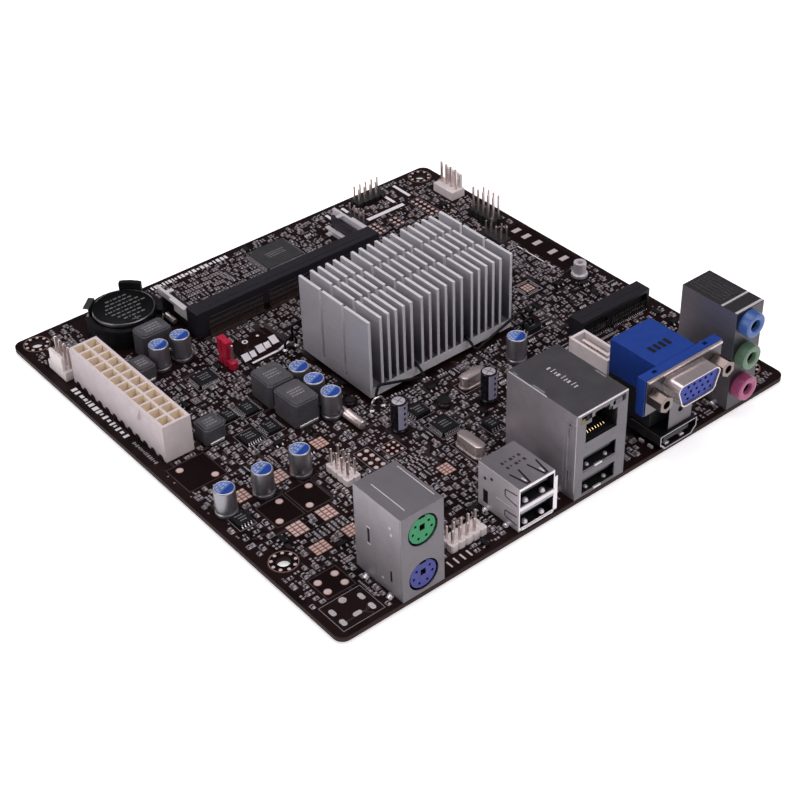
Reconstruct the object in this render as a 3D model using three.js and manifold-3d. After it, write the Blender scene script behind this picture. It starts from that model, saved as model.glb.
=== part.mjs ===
// Mini-ITX motherboard with a fanless processor.
// Millimetres. The origin is the centre of the circuit board's underside, +Z points up,
// and the rear connectors face -Y. Everything on the board is written in board
// coordinates: x and y run from the corner beside the PS/2 sockets, z = 0 is the top of
// the board. One group moves them to the origin.

import * as THREE from 'three';
import { mergeVertices } from 'three/addons/utils/BufferGeometryUtils.js';
import Module from 'manifold-3d';

const wasm = await Module();
wasm.setup();

// ---------------------------------------------------------------- driving dimensions

const BOARD_SIDE = 170;
const BOARD_THICKNESS = 1.6;
const BOARD_CORNER_RADIUS = 3;
const SCREW_HOLE_RADIUS = 1.98;
const SCREW_HOLES = [[6.35, 33.02], [6.35, 165.1], [163.83, 165.1], [163.83, 10.16]];

const SEAT_GAP = 0.05;          // parts stand this far off the board's lacquer
const SHEET = 0.4;              // thickness of the connector shells' sheet metal
const PIN = 0.64;               // square header pin
const PITCH = 2.54;             // header pitch
const ROUND = 24;               // sides of a large circle
const SMALL_ROUND = 12;         // sides of a small circle

const SOLDER_JOINT = { height: 1.0, base: 0.85, tip: 0.35 };

const SOC = { x: [82.5, 107.5], y: [75.5, 100.5], substrate: 1.0, dieInset: 6, top: 1.75 };
const HEATSINK = {
  x: [66.8, 123.2], y: [71.5, 105], bottom: 1.8, base: 3.2, top: 29, fin: 1.0,
  cuts: [83.5, 94.3], cutWidth: 1.2, cutFloor: 4.4,
};
const OUTER_FIN_OFFSET = 27.7;
const SIDE_FINS = { offset: 17.6, pitch: 2.9, count: 5 };
const MIDDLE_FINS = { offset: 0, pitch: 3.12, count: 6 };
const CLIP_WIRE = 0.9;          // diameter of the spring wire
const CLIP_LANE = 10.2;         // the wire runs in the wide gaps, this far from the middle
const ANCHOR = { span: 4.4, top: 4.3, wire: 0.8 };
const ANCHORS = {
  left: { front: [66.9, 68.5], rear: [65.7, 110.4] },
  right: { front: [127.9, 68.9], rear: [127.0, 110.6] },
};

const ATX = { x: [5.2, 14.8], y: [88.2, 139.8], height: 12.7, pitch: 4.2, rows: 12 };
const ATX_POCKET = { side: 3.4, depth: 9.5 };
const ATX_LATCH_RIB = { y: [100.2, 103.8], out: 1.2, z: [8.6, 12.4] };

const SODIMM = { x: [46.4, 119.6], y: [133, 139], height: 9.2, key: 73 };
const SODIMM_ARM = { offset: [32.9, 35.1], end: 156.4, tip: 1.2, height: 6.4 };
const CARD = { halfWidth: 33.8, z: [6.4, 7.6] };
const LATCH = {
  leaf: 0.4, offset: 35.4, y: [139.4, 157.2], tabEnd: 148.0, z: [3.0, 8.3], tab: 1.8, nib: 151,
};

const CELL = { x: 32.6, y: 154, radius: 10, thickness: 3.2, bottom: 4.9 };
const HOLDER = {
  radius: 12.2, pocket: 10.35, height: 6.6, notchAngle: 132, tabAngle: 46, tabTop: 10.2, fingerAngle: -60,
};

const PS2 = { x: [20.5, 34.5], y: [0, 19.4], height: 28.2, portX: 27.6, portZ: [5.9, 21.3] };
const PS2_PORT = { hole: 4.95, boss: 4.35, bossFront: 0.35, blockFront: 6.2 };

const USB = { x: [61.2, 74.2], y: [0.5, 17], height: 15.1, slots: [[1.3, 6.5], [8.9, 14.1]] };
const LAN = { x: [81.4, 100.5], y: [0, 28], height: 29.4 };
const LAN_JACK = { x: [84.7, 96.7], z: [18.8, 27.9], depth: 15, insertBottom: 16.2 };
const LAN_SLOTS = { x: [84.2, 96.8], z: [[1.1, 6.1], [9.2, 14.2]] };
const USB_TONGUE = { thickness: 1.8, inset: 0.8, recess: 0.9 };

const VGA = { centre: 122.9, z: [15.6, 28.1], flangeWidth: 30.8, flangeDepth: 3.1, screwPitch: 25 };
const VGA_BODY = { x: [114.9, 130.9], y: [3.5, 21.2], z: [16.5, 28.0] };
const VGA_D = { top: 16.9, bottom: 14.3, height: 8.1, out: 5.9, wall: 0.45 };
const VGA_SCREW = { hex: 2.7, out: 5.4, shank: 1.45, bore: 1.75, thread: 1.3 };
const VIDEO_BRACKET = { x: [118.2, 127.6], z: [5.9, 16.2], hole: 1.1, holeZ: 11.3 };
const HDMI = { centre: 121.9, width: 15, z: [0.3, 5.5], y: [-0.9, 11] };

const AUDIO = { x: [143.4, 154.8], y: [0, 20.8], height: 34, jackX: 148.3, jackZ: [7.2, 18.4, 29.6] };
const AUDIO_JACK = { radius: 3.9, bore: 1.8, out: 3.3, boreDepth: 14 };

const SATA = { x: [126.0, 132.6], y: [32.2, 48.6], height: 8.5, wall: 1.0, floor: 1.6 };
const MINI_PCIE = { x: [135.4, 165.2], y: [52.4, 58.2], height: 7.2, slot: [4.2, 5.6], key: 148 };
const MINI_PCIE_POST = { x: 161.6, y: 80.2, radius: 2.1, height: 5.2 };

const POLYMER_CAPACITOR = { radius: 3.2, height: 9 };
const POLYMER_CAPACITORS = [
  [6.2, 59.3], [18.8, 59.2], [31.8, 59.3], [29.2, 128.3], [37.0, 128.3],
  [54.9, 90.8], [54.7, 83.0], [54.7, 74.8], [114.3, 59.3],
];
const ELECTROLYTIC = { radius: 2.5, height: 11 };
const ELECTROLYTICS = [[65, 56], [94.1, 49.5]];

const INDUCTORS = [
  { x: [42.3, 51.7], y: [88.3, 99.0], height: 8.6 },
  { x: [42.4, 51.5], y: [75.7, 87.3], height: 8.7 },
  { x: [18.0, 25.2], y: [86.3, 93.5], height: 5.8 },
  { x: [19.4, 25.7], y: [124.2, 132.0], height: 5.5 },
  { x: [27.5, 38.1], y: [134.2, 141.4], height: 8.8 },
];

const CPU_FAN = { x: [3.2, 9.0], y: [141.2, 151.6], wallSide: -1 };
const SYSTEM_FAN = { x: [161.2, 167.0], y: [144.0, 154.2], wallSide: 1 };
const FAN_HEADER = { base: 3.2, wall: 8.2, wallThickness: 1.0, pins: 4, pinTop: 11.2 };

const PANEL_HEADER = { x: 162.4, y: [122.4, 5], pinTop: 11.0, base: 2.5 };
const CMOS_HEADER = { x: 46.0, y: 113.4, pins: 3, base: 2.5, pinTop: 8.6 };
const JUMPER_CAP = { z: [2.8, 9.0], width: 2.5 };

// ---------------------------------------------------------------------- solid helpers

function toSolid(geometry) {
  const bare = geometry.clone();
  bare.deleteAttribute('normal');
  bare.deleteAttribute('uv');
  const merged = mergeVertices(bare, 1e-4);
  const vertProperties = new Float32Array(merged.attributes.position.array);
  const triVerts = new Uint32Array(merged.index.array);
  return new wasm.Manifold(new wasm.Mesh({ numProp: 3, vertProperties, triVerts }));
}

function toGeometry(solid) {
  const mesh = solid.getMesh();
  const geometry = new THREE.BufferGeometry();
  geometry.setAttribute('position', new THREE.BufferAttribute(new Float32Array(mesh.vertProperties), 3));
  geometry.setIndex(new THREE.BufferAttribute(new Uint32Array(mesh.triVerts), 1));
  geometry.computeVertexNormals();
  return geometry;
}

function block([x0, x1], [y0, y1], [z0, z1]) {
  const geometry = new THREE.BoxGeometry(x1 - x0, y1 - y0, z1 - z0);
  geometry.translate((x0 + x1) / 2, (y0 + y1) / 2, (z0 + z1) / 2);
  return toSolid(geometry);
}

function rodZ(x, y, [z0, z1], radius, sides = ROUND, topRadius = radius) {
  const geometry = new THREE.CylinderGeometry(topRadius, radius, z1 - z0, sides);
  geometry.rotateX(Math.PI / 2);
  geometry.translate(x, y, (z0 + z1) / 2);
  return toSolid(geometry);
}

function rodY(x, z, [y0, y1], radius, sides = ROUND, frontRadius = radius) {
  const geometry = new THREE.CylinderGeometry(radius, frontRadius, y1 - y0, sides);
  geometry.translate(x, (y0 + y1) / 2, z);
  return toSolid(geometry);
}

// An outline in x and y, extruded along z.
function prismZ(points, [z0, z1]) {
  const shape = new THREE.Shape(points.map(([x, y]) => new THREE.Vector2(x, y)));
  const geometry = new THREE.ExtrudeGeometry(shape, { depth: z1 - z0, bevelEnabled: false });
  geometry.translate(0, 0, z0);
  return toSolid(geometry);
}

// An outline in x and z, extruded along y.
function prismY(points, [y0, y1]) {
  const shape = new THREE.Shape(points.map(([x, z]) => new THREE.Vector2(x, z)));
  const geometry = new THREE.ExtrudeGeometry(shape, { depth: y1 - y0, bevelEnabled: false });
  geometry.rotateX(Math.PI / 2);
  geometry.translate(0, y1, 0);
  return toSolid(geometry);
}

function roundedRectangle([x0, x1], [y0, y1], radius, steps = 6) {
  const corners = [[x1 - radius, y0 + radius, -90], [x1 - radius, y1 - radius, 0],
    [x0 + radius, y1 - radius, 90], [x0 + radius, y0 + radius, 180]];
  const points = [];
  for (const [cx, cy, start] of corners) {
    for (let step = 0; step <= steps; step += 1) {
      const angle = THREE.MathUtils.degToRad(start + (90 * step) / steps);
      points.push([cx + radius * Math.cos(angle), cy + radius * Math.sin(angle)]);
    }
  }
  return points;
}

// A round wire that follows straight runs with small rounded bends.
function wire(points, diameter, steps) {
  const radius = diameter / 2;
  const section = new THREE.Shape();
  section.absarc(0, 0, radius, 0, Math.PI * 2);
  const path = new THREE.CurvePath();
  const bend = diameter * 1.2;
  let from = new THREE.Vector3(...points[0]);
  for (let i = 1; i < points.length - 1; i += 1) {
    const corner = new THREE.Vector3(...points[i]);
    const before = new THREE.Vector3(...points[i - 1]).sub(corner).setLength(bend).add(corner);
    const after = new THREE.Vector3(...points[i + 1]).sub(corner).setLength(bend).add(corner);
    path.add(new THREE.LineCurve3(from, before));
    path.add(new THREE.QuadraticBezierCurve3(before, corner, after));
    from = after;
  }
  path.add(new THREE.LineCurve3(from, new THREE.Vector3(...points[points.length - 1])));
  const geometry = new THREE.ExtrudeGeometry(section, {
    steps, curveSegments: 3, extrudePath: path, bevelEnabled: false,
  });
  return toSolid(geometry);
}

function join(solids) {
  return solids.reduce((whole, piece) => whole.add(piece));
}

function cut(solid, tools) {
  return tools.reduce((rest, tool) => rest.subtract(tool), solid);
}

function turnedZ(solid, degrees, x, y) {
  return solid.translate([-x, -y, 0]).rotate([0, 0, degrees]).translate([x, y, 0]);
}

// ------------------------------------------------------------------------- materials

function finish(color, roughness, metalness = 0) {
  return new THREE.MeshStandardMaterial({ color, roughness, metalness });
}

const FINISH = {
  board: () => finish(0x17110f, 0.55),
  silicon: () => finish(0x1c1d1f, 0.35),
  aluminium: () => finish(0xb4b3b8, 0.42, 0.9),
  springWire: () => finish(0x0d0d0e, 0.35, 0.6),
  tinned: () => finish(0xd5d2ce, 0.25, 1.0),
  shell: () => finish(0xb9b2b2, 0.3, 1.0),
  ivory: () => finish(0xd8ccd0, 0.55),
  black: () => finish(0x131315, 0.5),
  slotGrey: () => finish(0x2a2a2e, 0.5),
  green: () => finish(0x4fae78, 0.45),
  purple: () => finish(0x6f6fc0, 0.45),
  blue: () => finish(0x1c4fb8, 0.5),
  blueFace: () => finish(0x3b4fc4, 0.5),
  jackBlue: () => finish(0x6d93cf, 0.4),
  jackGreen: () => finish(0x8faa8c, 0.4),
  jackPink: () => finish(0xc9638f, 0.4),
  white: () => finish(0xe6dcdc, 0.5),
  ferrite: () => finish(0x55555b, 0.65),
  sleeve: () => finish(0x1b1b20, 0.35),
  can: () => finish(0xc8c6ca, 0.3, 0.9),
  red: () => finish(0xb8123a, 0.4),
};

// ---------------------------------------------------------------------- circuit board

// The through-hole joints under the board, one list of [x, y] for each connector.
function jointGrid(x, y, columns, rows, pitchX, pitchY) {
  const places = [];
  for (let column = 0; column < columns; column += 1) {
    for (let row = 0; row < rows; row += 1) {
      places.push([x + column * pitchX, y + row * pitchY]);
    }
  }
  return places;
}

function solderJoints() {
  const atxColumn = (ATX.x[0] + ATX.x[1] - ATX.pitch) / 2;
  const atxRow = (ATX.y[0] + ATX.y[1] - ATX.pitch * (ATX.rows - 1)) / 2;
  return [
    ...jointGrid(atxColumn, atxRow, 2, ATX.rows, ATX.pitch, ATX.pitch),
    ...jointGrid(PS2.x[0] + 3, 9, 4, 3, 2.6, 4),
    ...jointGrid(USB.x[0] + 3, 9.5, 4, 2, 2.3, 3),
    ...jointGrid(LAN.x[0] + 3.5, 15, 5, 4, 3, 3),
    ...jointGrid(VGA_BODY.x[0] + 3, 9.5, 5, 3, 2.54, 3.4),
    ...jointGrid(AUDIO.x[0] + 2.2, 5, 3, 4, 3.5, 4),
    ...jointGrid((SATA.x[0] + SATA.x[1]) / 2, SATA.y[0] + 3, 1, 5, 1, 2.6),
    ...jointGrid(CELL.x - 8, CELL.y, 2, 1, 16, 1),
    ...jointGrid(PANEL_HEADER.x - PITCH / 2, PANEL_HEADER.y[0], 2, 5, PITCH, PITCH),
    ...jointGrid(CMOS_HEADER.x, CMOS_HEADER.y, 1, CMOS_HEADER.pins, 1, PITCH),
  ];
}

function circuitBoard() {
  const outline = roundedRectangle([0, BOARD_SIDE], [0, BOARD_SIDE], BOARD_CORNER_RADIUS);
  const plate = prismZ(outline, [-BOARD_THICKNESS, 0]);
  const holes = SCREW_HOLES.map(([x, y]) => rodZ(x, y, [-5, 5], SCREW_HOLE_RADIUS, SMALL_ROUND));
  const { height, base, tip } = SOLDER_JOINT;
  const span = [-BOARD_THICKNESS - height, -BOARD_THICKNESS + 0.2];
  const joints = solderJoints().map(([x, y]) => rodZ(x, y, span, tip, 4, base));
  return join([cut(plate, holes), ...joints]);
}

// ---------------------------------------------------------------- processor and cooler

function socPackage() {
  const inner = ([a, b]) => [a + SOC.dieInset, b - SOC.dieInset];
  return join([
    block(SOC.x, SOC.y, [SEAT_GAP, SOC.substrate]),
    block(inner(SOC.x), inner(SOC.y), [SOC.substrate - 0.1, SOC.top]),
  ]);
}

function finRow({ offset, pitch, count }) {
  const middle = (HEATSINK.x[0] + HEATSINK.x[1]) / 2;
  return Array.from({ length: count }, (_, i) => middle + offset + (i - (count - 1) / 2) * pitch);
}

function heatsink() {
  const h = HEATSINK;
  const baseTop = h.bottom + h.base;
  const middle = (h.x[0] + h.x[1]) / 2;
  const centres = [
    middle - OUTER_FIN_OFFSET,
    ...finRow({ ...SIDE_FINS, offset: -SIDE_FINS.offset }),
    ...finRow(MIDDLE_FINS),
    ...finRow(SIDE_FINS),
    middle + OUTER_FIN_OFFSET,
  ];
  const fins = centres.map((x) => block([x - h.fin / 2, x + h.fin / 2], h.y, [baseTop - 0.2, h.top]));
  const cuts = h.cuts.map((y) => block([h.x[0] - 1, h.x[1] + 1],
    [y - h.cutWidth / 2, y + h.cutWidth / 2], [h.cutFloor, h.top + 1]));
  return cut(join([block(h.x, h.y, [h.bottom, baseTop]), ...fins]), cuts);
}

// One spring wire lies on the base in a wide gap between the fins. In front it drops,
// climbs sideways past the fins and hooks down through the eye of its anchor. Behind it
// rises steeply before it hooks down through the other eye.
function heatsinkClip(side, { front, rear }) {
  const lane = (HEATSINK.x[0] + HEATSINK.x[1]) / 2 + side * CLIP_LANE;
  const onBase = HEATSINK.bottom + HEATSINK.base + CLIP_WIRE / 2 + 0.1;
  const inEye = 2.9;
  const past = 1.7;
  return wire([
    [front[0], front[1] - past, inEye - 0.3],
    [front[0], front[1] + 1.0, inEye],
    [front[0] - side * 1.8, front[1] + 1.7, 6.6],
    [lane, HEATSINK.y[0] - 3.8, onBase - 2.4],
    [lane, HEATSINK.y[0] + 0.3, onBase + 0.2],
    [lane, HEATSINK.y[1] - 0.3, onBase + 0.1],
    [lane, HEATSINK.y[1] + 2.6, onBase + 1.2],
    [rear[0] - side * 3.6, rear[1] - 1.7, 9.6],
    [rear[0], rear[1] - 1.4, 9.4],
    [rear[0], rear[1] - 1.2, inEye],
    [rear[0], rear[1] + past, inEye - 0.3],
  ], CLIP_WIRE, 60);
}

// A bent wire staple that stands on the board. The clip passes under its arch.
function clipAnchor([x, y]) {
  const half = ANCHOR.span / 2;
  const top = ANCHOR.top - ANCHOR.wire / 2;
  return wire([
    [x - half, y, SEAT_GAP],
    [x - half, y, top - 1.1],
    [x - 1.0, y, top],
    [x + 1.0, y, top],
    [x + half, y, top - 1.1],
    [x + half, y, SEAT_GAP],
  ], ANCHOR.wire, 14);
}

// -------------------------------------------------------------------- power and memory

function atxSocket() {
  const middleX = (ATX.x[0] + ATX.x[1]) / 2;
  const firstRow = (ATX.y[0] + ATX.y[1] - ATX.pitch * (ATX.rows - 1)) / 2;
  const half = ATX_POCKET.side / 2;
  const pockets = [];
  for (const side of [-1, 1]) {
    for (let row = 0; row < ATX.rows; row += 1) {
      const x = middleX + (side * ATX.pitch) / 2;
      const y = firstRow + row * ATX.pitch;
      pockets.push(block([x - half, x + half], [y - half, y + half],
        [ATX.height - ATX_POCKET.depth, ATX.height + 1]));
    }
  }
  const outer = ATX.x[0] - ATX_LATCH_RIB.out;
  const [ribLow, ribHigh] = ATX_LATCH_RIB.z;
  const rib = prismY([[ATX.x[0] + 0.3, ribLow], [ATX.x[0] + 0.3, ribHigh], [ATX.x[0], ribHigh],
    [outer, ribHigh - 2.2], [outer, ribHigh - 3.0], [ATX.x[0], ribLow]], ATX_LATCH_RIB.y);
  return join([cut(block(ATX.x, ATX.y, [SEAT_GAP, ATX.height]), pockets), rib]);
}

function sodimmSocket() {
  const s = SODIMM;
  const a = SODIMM_ARM;
  const middle = (s.x[0] + s.x[1]) / 2;
  const slot = [
    block([middle - CARD.halfWidth - 0.2, s.key - 0.7], [s.y[0] + 2.6, s.y[1] + 1], CARD.z),
    block([s.key + 0.7, middle + CARD.halfWidth + 0.2], [s.y[0] + 2.6, s.y[1] + 1], CARD.z),
  ];
  const relief = block([s.x[0] + 4, s.x[1] - 4], [s.y[0] - 1, s.y[0] + 1.2], [-1, 2.2]);
  const body = cut(block(s.x, s.y, [SEAT_GAP, s.height]), [...slot, relief]);
  const arms = [-1, 1].map((side) => {
    const [inner, outer] = a.offset.map((offset) => middle + side * offset);
    const tip = outer - side * a.tip;
    const root = s.y[1] - 3;
    const points = [[inner, root], [outer, root], [outer, a.end], [tip, a.end], [inner, a.end - 3]];
    return prismZ(side > 0 ? points : points.reverse(), [SEAT_GAP, a.height]);
  });
  return join([body, ...arms]);
}

// The sprung metal latch outside each arm: a leaf, a thumb tab that folds outwards, and
// a nib that reaches in over the edge of the card.
function sodimmLatch(side) {
  const face = (SODIMM.x[0] + SODIMM.x[1]) / 2 + side * LATCH.offset;
  const across = (from, to) => [face + side * from, face + side * to].sort((a, b) => a - b);
  const [y0, y1] = LATCH.y;
  const [z0, z1] = LATCH.z;
  const narrow = z0 + 2.2;
  return join([
    block(across(0, LATCH.leaf), [y0, LATCH.tabEnd], [z0, z1]),
    block(across(0, LATCH.leaf), [LATCH.tabEnd - 0.1, y1], [narrow, z1]),
    block(across(0, LATCH.tab), [y0, LATCH.tabEnd], [z1 - LATCH.leaf, z1]),
    block(across(0, 1.0), [LATCH.tabEnd - 0.1, y1], [z1 - LATCH.leaf, z1]),
    block(across(-2.2, 0.1), [LATCH.nib, LATCH.nib + 1.6], [z1 - LATCH.leaf, z1]),
  ]);
}

// ------------------------------------------------------------------------- coin cell

function batteryHolder() {
  const { x, y } = CELL;
  const h = HOLDER;
  const floor = CELL.bottom - 0.1;
  const above = h.height + 5;
  const cup = rodZ(x, y, [SEAT_GAP, h.height], h.radius, 32);
  const pocket = rodZ(x, y, [floor, above], h.pocket, 32);
  const notch = turnedZ(block([x + 6, x + 20], [y - 4.6, y + 4.6], [2, above]), h.notchAngle, x, y);
  const finger = turnedZ(block([x + 9, x + 20], [y - 4, y + 4], [floor, above]), h.fingerAngle, x, y);
  const tab = cut(rodZ(x, y, [3, h.tabTop], h.radius, 32), [
    rodZ(x, y, [floor, 12], h.pocket + 0.15, 32),
    block([x - 20, x + 9.2], [y - 20, y + 20], [2, 12]),
    block([x, x + 20], [y - 20, y - 3.6], [2, 12]),
    block([x, x + 20], [y + 3.6, y + 20], [2, 12]),
  ]);
  return join([cut(cup, [pocket, notch, finger]), turnedZ(tab, h.tabAngle, x, y)]);
}

function batteryContact() {
  const { x, y } = CELL;
  const r = CELL.radius + 0.45;
  const top = 8.6;
  const thickness = 0.4;
  const leaf = join([
    block([x + r, x + r + thickness], [y - 3, y + 3], [2.2, top]),
    block([x + r, x + r + 2.0], [y - 3, y + 3], [top - thickness, top]),
    block([x + r - 3.4, x + r + thickness], [y - 2, y + 2], [2.2, 2.2 + thickness]),
  ]);
  return turnedZ(leaf, HOLDER.notchAngle, x, y);
}

function coinCell() {
  const { x, y, radius, thickness, bottom } = CELL;
  const profile = [[0, 0], [8.7, 0], [9.0, 0.5], [radius, 0.8], [radius, thickness - 0.3],
    [radius - 0.3, thickness], [0, thickness]].map(([r, z]) => new THREE.Vector2(r, z));
  const geometry = new THREE.LatheGeometry(profile, 32);
  geometry.rotateX(Math.PI / 2);
  geometry.translate(x, y, bottom);
  return toSolid(geometry);
}

// ---------------------------------------------------------------------- rear sockets

function ps2Shell() {
  const p = PS2;
  const outer = block(p.x, p.y, [SEAT_GAP, p.height]);
  const inner = block([p.x[0] + SHEET, p.x[1] - SHEET], [p.y[0] + SHEET, p.y[1] - SHEET],
    [-1, p.height - SHEET]);
  const holes = p.portZ.map((z) => rodY(p.portX, z, [-1, 2], PS2_PORT.hole, ROUND));
  return cut(outer, [inner, ...holes]);
}

// Half of the stack's moulding: a block, and a round keyed boss with six pin holes.
function ps2Port(level) {
  const p = PS2;
  const z = p.portZ[level];
  const half = p.height / 2;
  const inside = SHEET + 0.3;
  const zRange = level === 0 ? [0.3, half - 0.15] : [half + 0.15, p.height - inside];
  const body = block([p.x[0] + inside, p.x[1] - inside], [PS2_PORT.blockFront, p.y[1] - inside], zRange);
  const boss = rodY(p.portX, z, [PS2_PORT.bossFront, PS2_PORT.blockFront + 0.3], PS2_PORT.boss, ROUND);
  const holes = [[-2.2, 1.9], [2.2, 1.9], [-3.1, -0.4], [3.1, -0.4], [-1.3, -2.6], [1.3, -2.6]]
    .map(([dx, dz]) => rodY(p.portX + dx, z + dz, [-1, 5], 0.45, 6));
  const key = block([p.portX - 0.85, p.portX + 0.85], [-1, 5], [z - 0.2, z + 1.7]);
  const notches = [
    block([p.portX - 1.1, p.portX + 1.1], [-1, 5], [z + 3.7, z + 6]),
    block([p.portX - 6, p.portX - 3.75], [-1, 5], [z - 2.9, z - 1.7]),
    block([p.portX + 3.75, p.portX + 6], [-1, 5], [z - 2.9, z - 1.7]),
  ];
  return cut(join([body, boss]), [...holes, key, ...notches]);
}

function usbShell() {
  const u = USB;
  const outer = block(u.x, u.y, [SEAT_GAP, u.height]);
  const inner = block([u.x[0] + SHEET, u.x[1] - SHEET], [u.y[0] + SHEET, u.y[1] - SHEET],
    [SEAT_GAP + SHEET, u.height - SHEET]);
  const mouths = u.slots.map((z) => block([u.x[0] + SHEET, u.x[1] - SHEET], [u.y[0] - 1, u.y[0] + 1], z));
  return cut(outer, [inner, ...mouths]);
}

// Black moulding behind two USB mouths, with one contact tongue in each.
function usbInsert(x, y, z, slots, blockFront) {
  const { thickness, inset, recess } = USB_TONGUE;
  const tongues = slots.map(([low, high]) => {
    const top = high - 0.5;
    const across = [x[0] + inset, x[1] - inset];
    return block(across, [y[0] + recess, blockFront + 0.2], [top - thickness, top]);
  });
  const web = block(x, [y[0] + 0.4, blockFront + 0.2], [slots[0][1] + 0.2, slots[1][0] - 0.2]);
  return join([block(x, [blockFront, y[1]], z), web, ...tongues]);
}

function lanShell() {
  const l = LAN;
  const outer = block(l.x, l.y, [SEAT_GAP, l.height]);
  const inner = block([l.x[0] + SHEET, l.x[1] - SHEET], [l.y[0] + SHEET, l.y[1] - SHEET],
    [SEAT_GAP + SHEET, l.height - SHEET]);
  const front = [l.y[0] - 1, l.y[0] + 1];
  const mouths = LAN_SLOTS.z.map((z) => block(LAN_SLOTS.x, front, z));
  const jack = block(LAN_JACK.x, front, LAN_JACK.z);
  const lamps = [[82.9, 86.9], [95.2, 99.2]].map((x) => block(x, front, [26.4, 28.4]));
  return cut(outer, [inner, ...mouths, jack, ...lamps]);
}

function lanJackInsert() {
  const l = LAN;
  const inside = SHEET + 0.3;
  const [x0, x1] = LAN_JACK.x;
  const [z0, z1] = LAN_JACK.z;
  const middle = (x0 + x1) / 2;
  const body = block([l.x[0] + inside, l.x[1] - inside], [l.y[0] + inside, l.y[1] - inside],
    [LAN_JACK.insertBottom, l.height - inside]);
  const depth = [l.y[0] - 1, l.y[0] + LAN_JACK.depth];
  const cavity = prismY([
    [x0 + 0.1, z0 + 0.1], [x1 - 0.1, z0 + 0.1], [x1 - 0.1, z1 - 2.7], [middle + 3.2, z1 - 2.7],
    [middle + 3.2, z1 - 1.2], [middle + 1.6, z1 - 1.2], [middle + 1.6, z1 - 0.1], [middle - 1.6, z1 - 0.1],
    [middle - 1.6, z1 - 1.2], [middle - 3.2, z1 - 1.2], [middle - 3.2, z1 - 2.7], [x0 + 0.1, z1 - 2.7],
  ], depth);
  return cut(body, [cavity]);
}

function dOutline(topWidth, bottomWidth, height, radius, steps = 4) {
  const half = height / 2;
  const middleZ = (VGA.z[0] + VGA.z[1]) / 2;
  const corners = [[bottomWidth / 2, -half, -90], [topWidth / 2, half, 0],
    [-topWidth / 2, half, 90], [-bottomWidth / 2, -half, 180]];
  const points = [];
  corners.forEach(([x, z, start]) => {
    const cx = VGA.centre + x - Math.sign(x) * radius;
    const cz = middleZ + z - Math.sign(z) * radius;
    for (let step = 0; step <= steps; step += 1) {
      const angle = THREE.MathUtils.degToRad(start + (90 * step) / steps);
      points.push([cx + radius * Math.cos(angle), cz + radius * Math.sin(angle)]);
    }
  });
  return points;
}

function vgaScrewBores(depth) {
  const z = (VGA.z[0] + VGA.z[1]) / 2;
  return [-1, 1].map((side) => rodY(VGA.centre + (side * VGA.screwPitch) / 2, z, depth,
    VGA_SCREW.bore, SMALL_ROUND));
}

function vgaBody() {
  const half = VGA.flangeWidth / 2;
  const flange = block([VGA.centre - half, VGA.centre + half],
    [SHEET + 0.05, SHEET + VGA.flangeDepth], VGA.z);
  const throat = prismY(dOutline(VGA_D.top - 0.2, VGA_D.bottom - 0.2, VGA_D.height - 0.2, 2), [-1, 2.4]);
  const nuts = vgaScrewBores([-1, 6]);
  return cut(join([flange, block(VGA_BODY.x, VGA_BODY.y, VGA_BODY.z)]), [throat, ...nuts]);
}

// The nickel front: a flange plate, the D-shaped collar, and the tab down to the HDMI shell.
function vgaFrontShell() {
  const half = VGA.flangeWidth / 2;
  const plate = block([VGA.centre - half + 0.3, VGA.centre + half - 0.3], [0, SHEET],
    [VGA.z[0] + 0.4, VGA.z[1] - 0.3]);
  const collar = prismY(dOutline(VGA_D.top, VGA_D.bottom, VGA_D.height, 2.2), [-VGA_D.out, SHEET]);
  const bore = prismY(dOutline(VGA_D.top - 2 * VGA_D.wall, VGA_D.bottom - 2 * VGA_D.wall,
    VGA_D.height - 2 * VGA_D.wall, 1.8), [-VGA_D.out - 1, 1]);
  const tab = block(VIDEO_BRACKET.x, [0, SHEET], VIDEO_BRACKET.z);
  const tabMiddle = (VIDEO_BRACKET.x[0] + VIDEO_BRACKET.x[1]) / 2;
  const tabHole = rodY(tabMiddle, VIDEO_BRACKET.holeZ, [-1, 1], VIDEO_BRACKET.hole, SMALL_ROUND);
  const nuts = vgaScrewBores([-1, 1]);
  return cut(join([plate, collar, tab]), [bore, tabHole, ...nuts]);
}

function vgaSocketFace() {
  const middleZ = (VGA.z[0] + VGA.z[1]) / 2;
  const slack = 2 * VGA_D.wall + 0.4;
  const body = prismY(dOutline(VGA_D.top - slack, VGA_D.bottom - slack, VGA_D.height - slack, 1.6),
    [-VGA_D.out + 0.5, 2.3]);
  const holes = [];
  [1.98, 0, -1.98].forEach((dz, row) => {
    for (let i = 0; i < 5; i += 1) {
      const dx = (i - 2) * 2.29 + (row === 1 ? -0.6 : 0.55);
      holes.push(rodY(VGA.centre + dx, middleZ + dz, [-VGA_D.out - 1, -VGA_D.out + 4], 0.5, 6));
    }
  });
  return cut(body, holes);
}

function vgaJackscrew(side) {
  const x = VGA.centre + (side * VGA.screwPitch) / 2;
  const z = (VGA.z[0] + VGA.z[1]) / 2;
  return cut(join([
    rodY(x, z, [-VGA_SCREW.out, -0.05], VGA_SCREW.hex, 6),
    rodY(x, z, [-0.2, 5.2], VGA_SCREW.shank, SMALL_ROUND),
  ]), [rodY(x, z, [-6, -1.4], VGA_SCREW.thread, SMALL_ROUND)]);
}

function videoBase() {
  const cavity = block([HDMI.centre - HDMI.width / 2 - 0.3, HDMI.centre + HDMI.width / 2 + 0.3],
    [0, HDMI.y[1] + 0.3], [-1, HDMI.z[1] + 0.3]);
  const body = block(VGA_BODY.x, [4.2, VGA_BODY.y[1]], [SEAT_GAP, VGA_BODY.z[0] - 0.1]);
  return cut(body, [cavity]);
}

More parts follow.
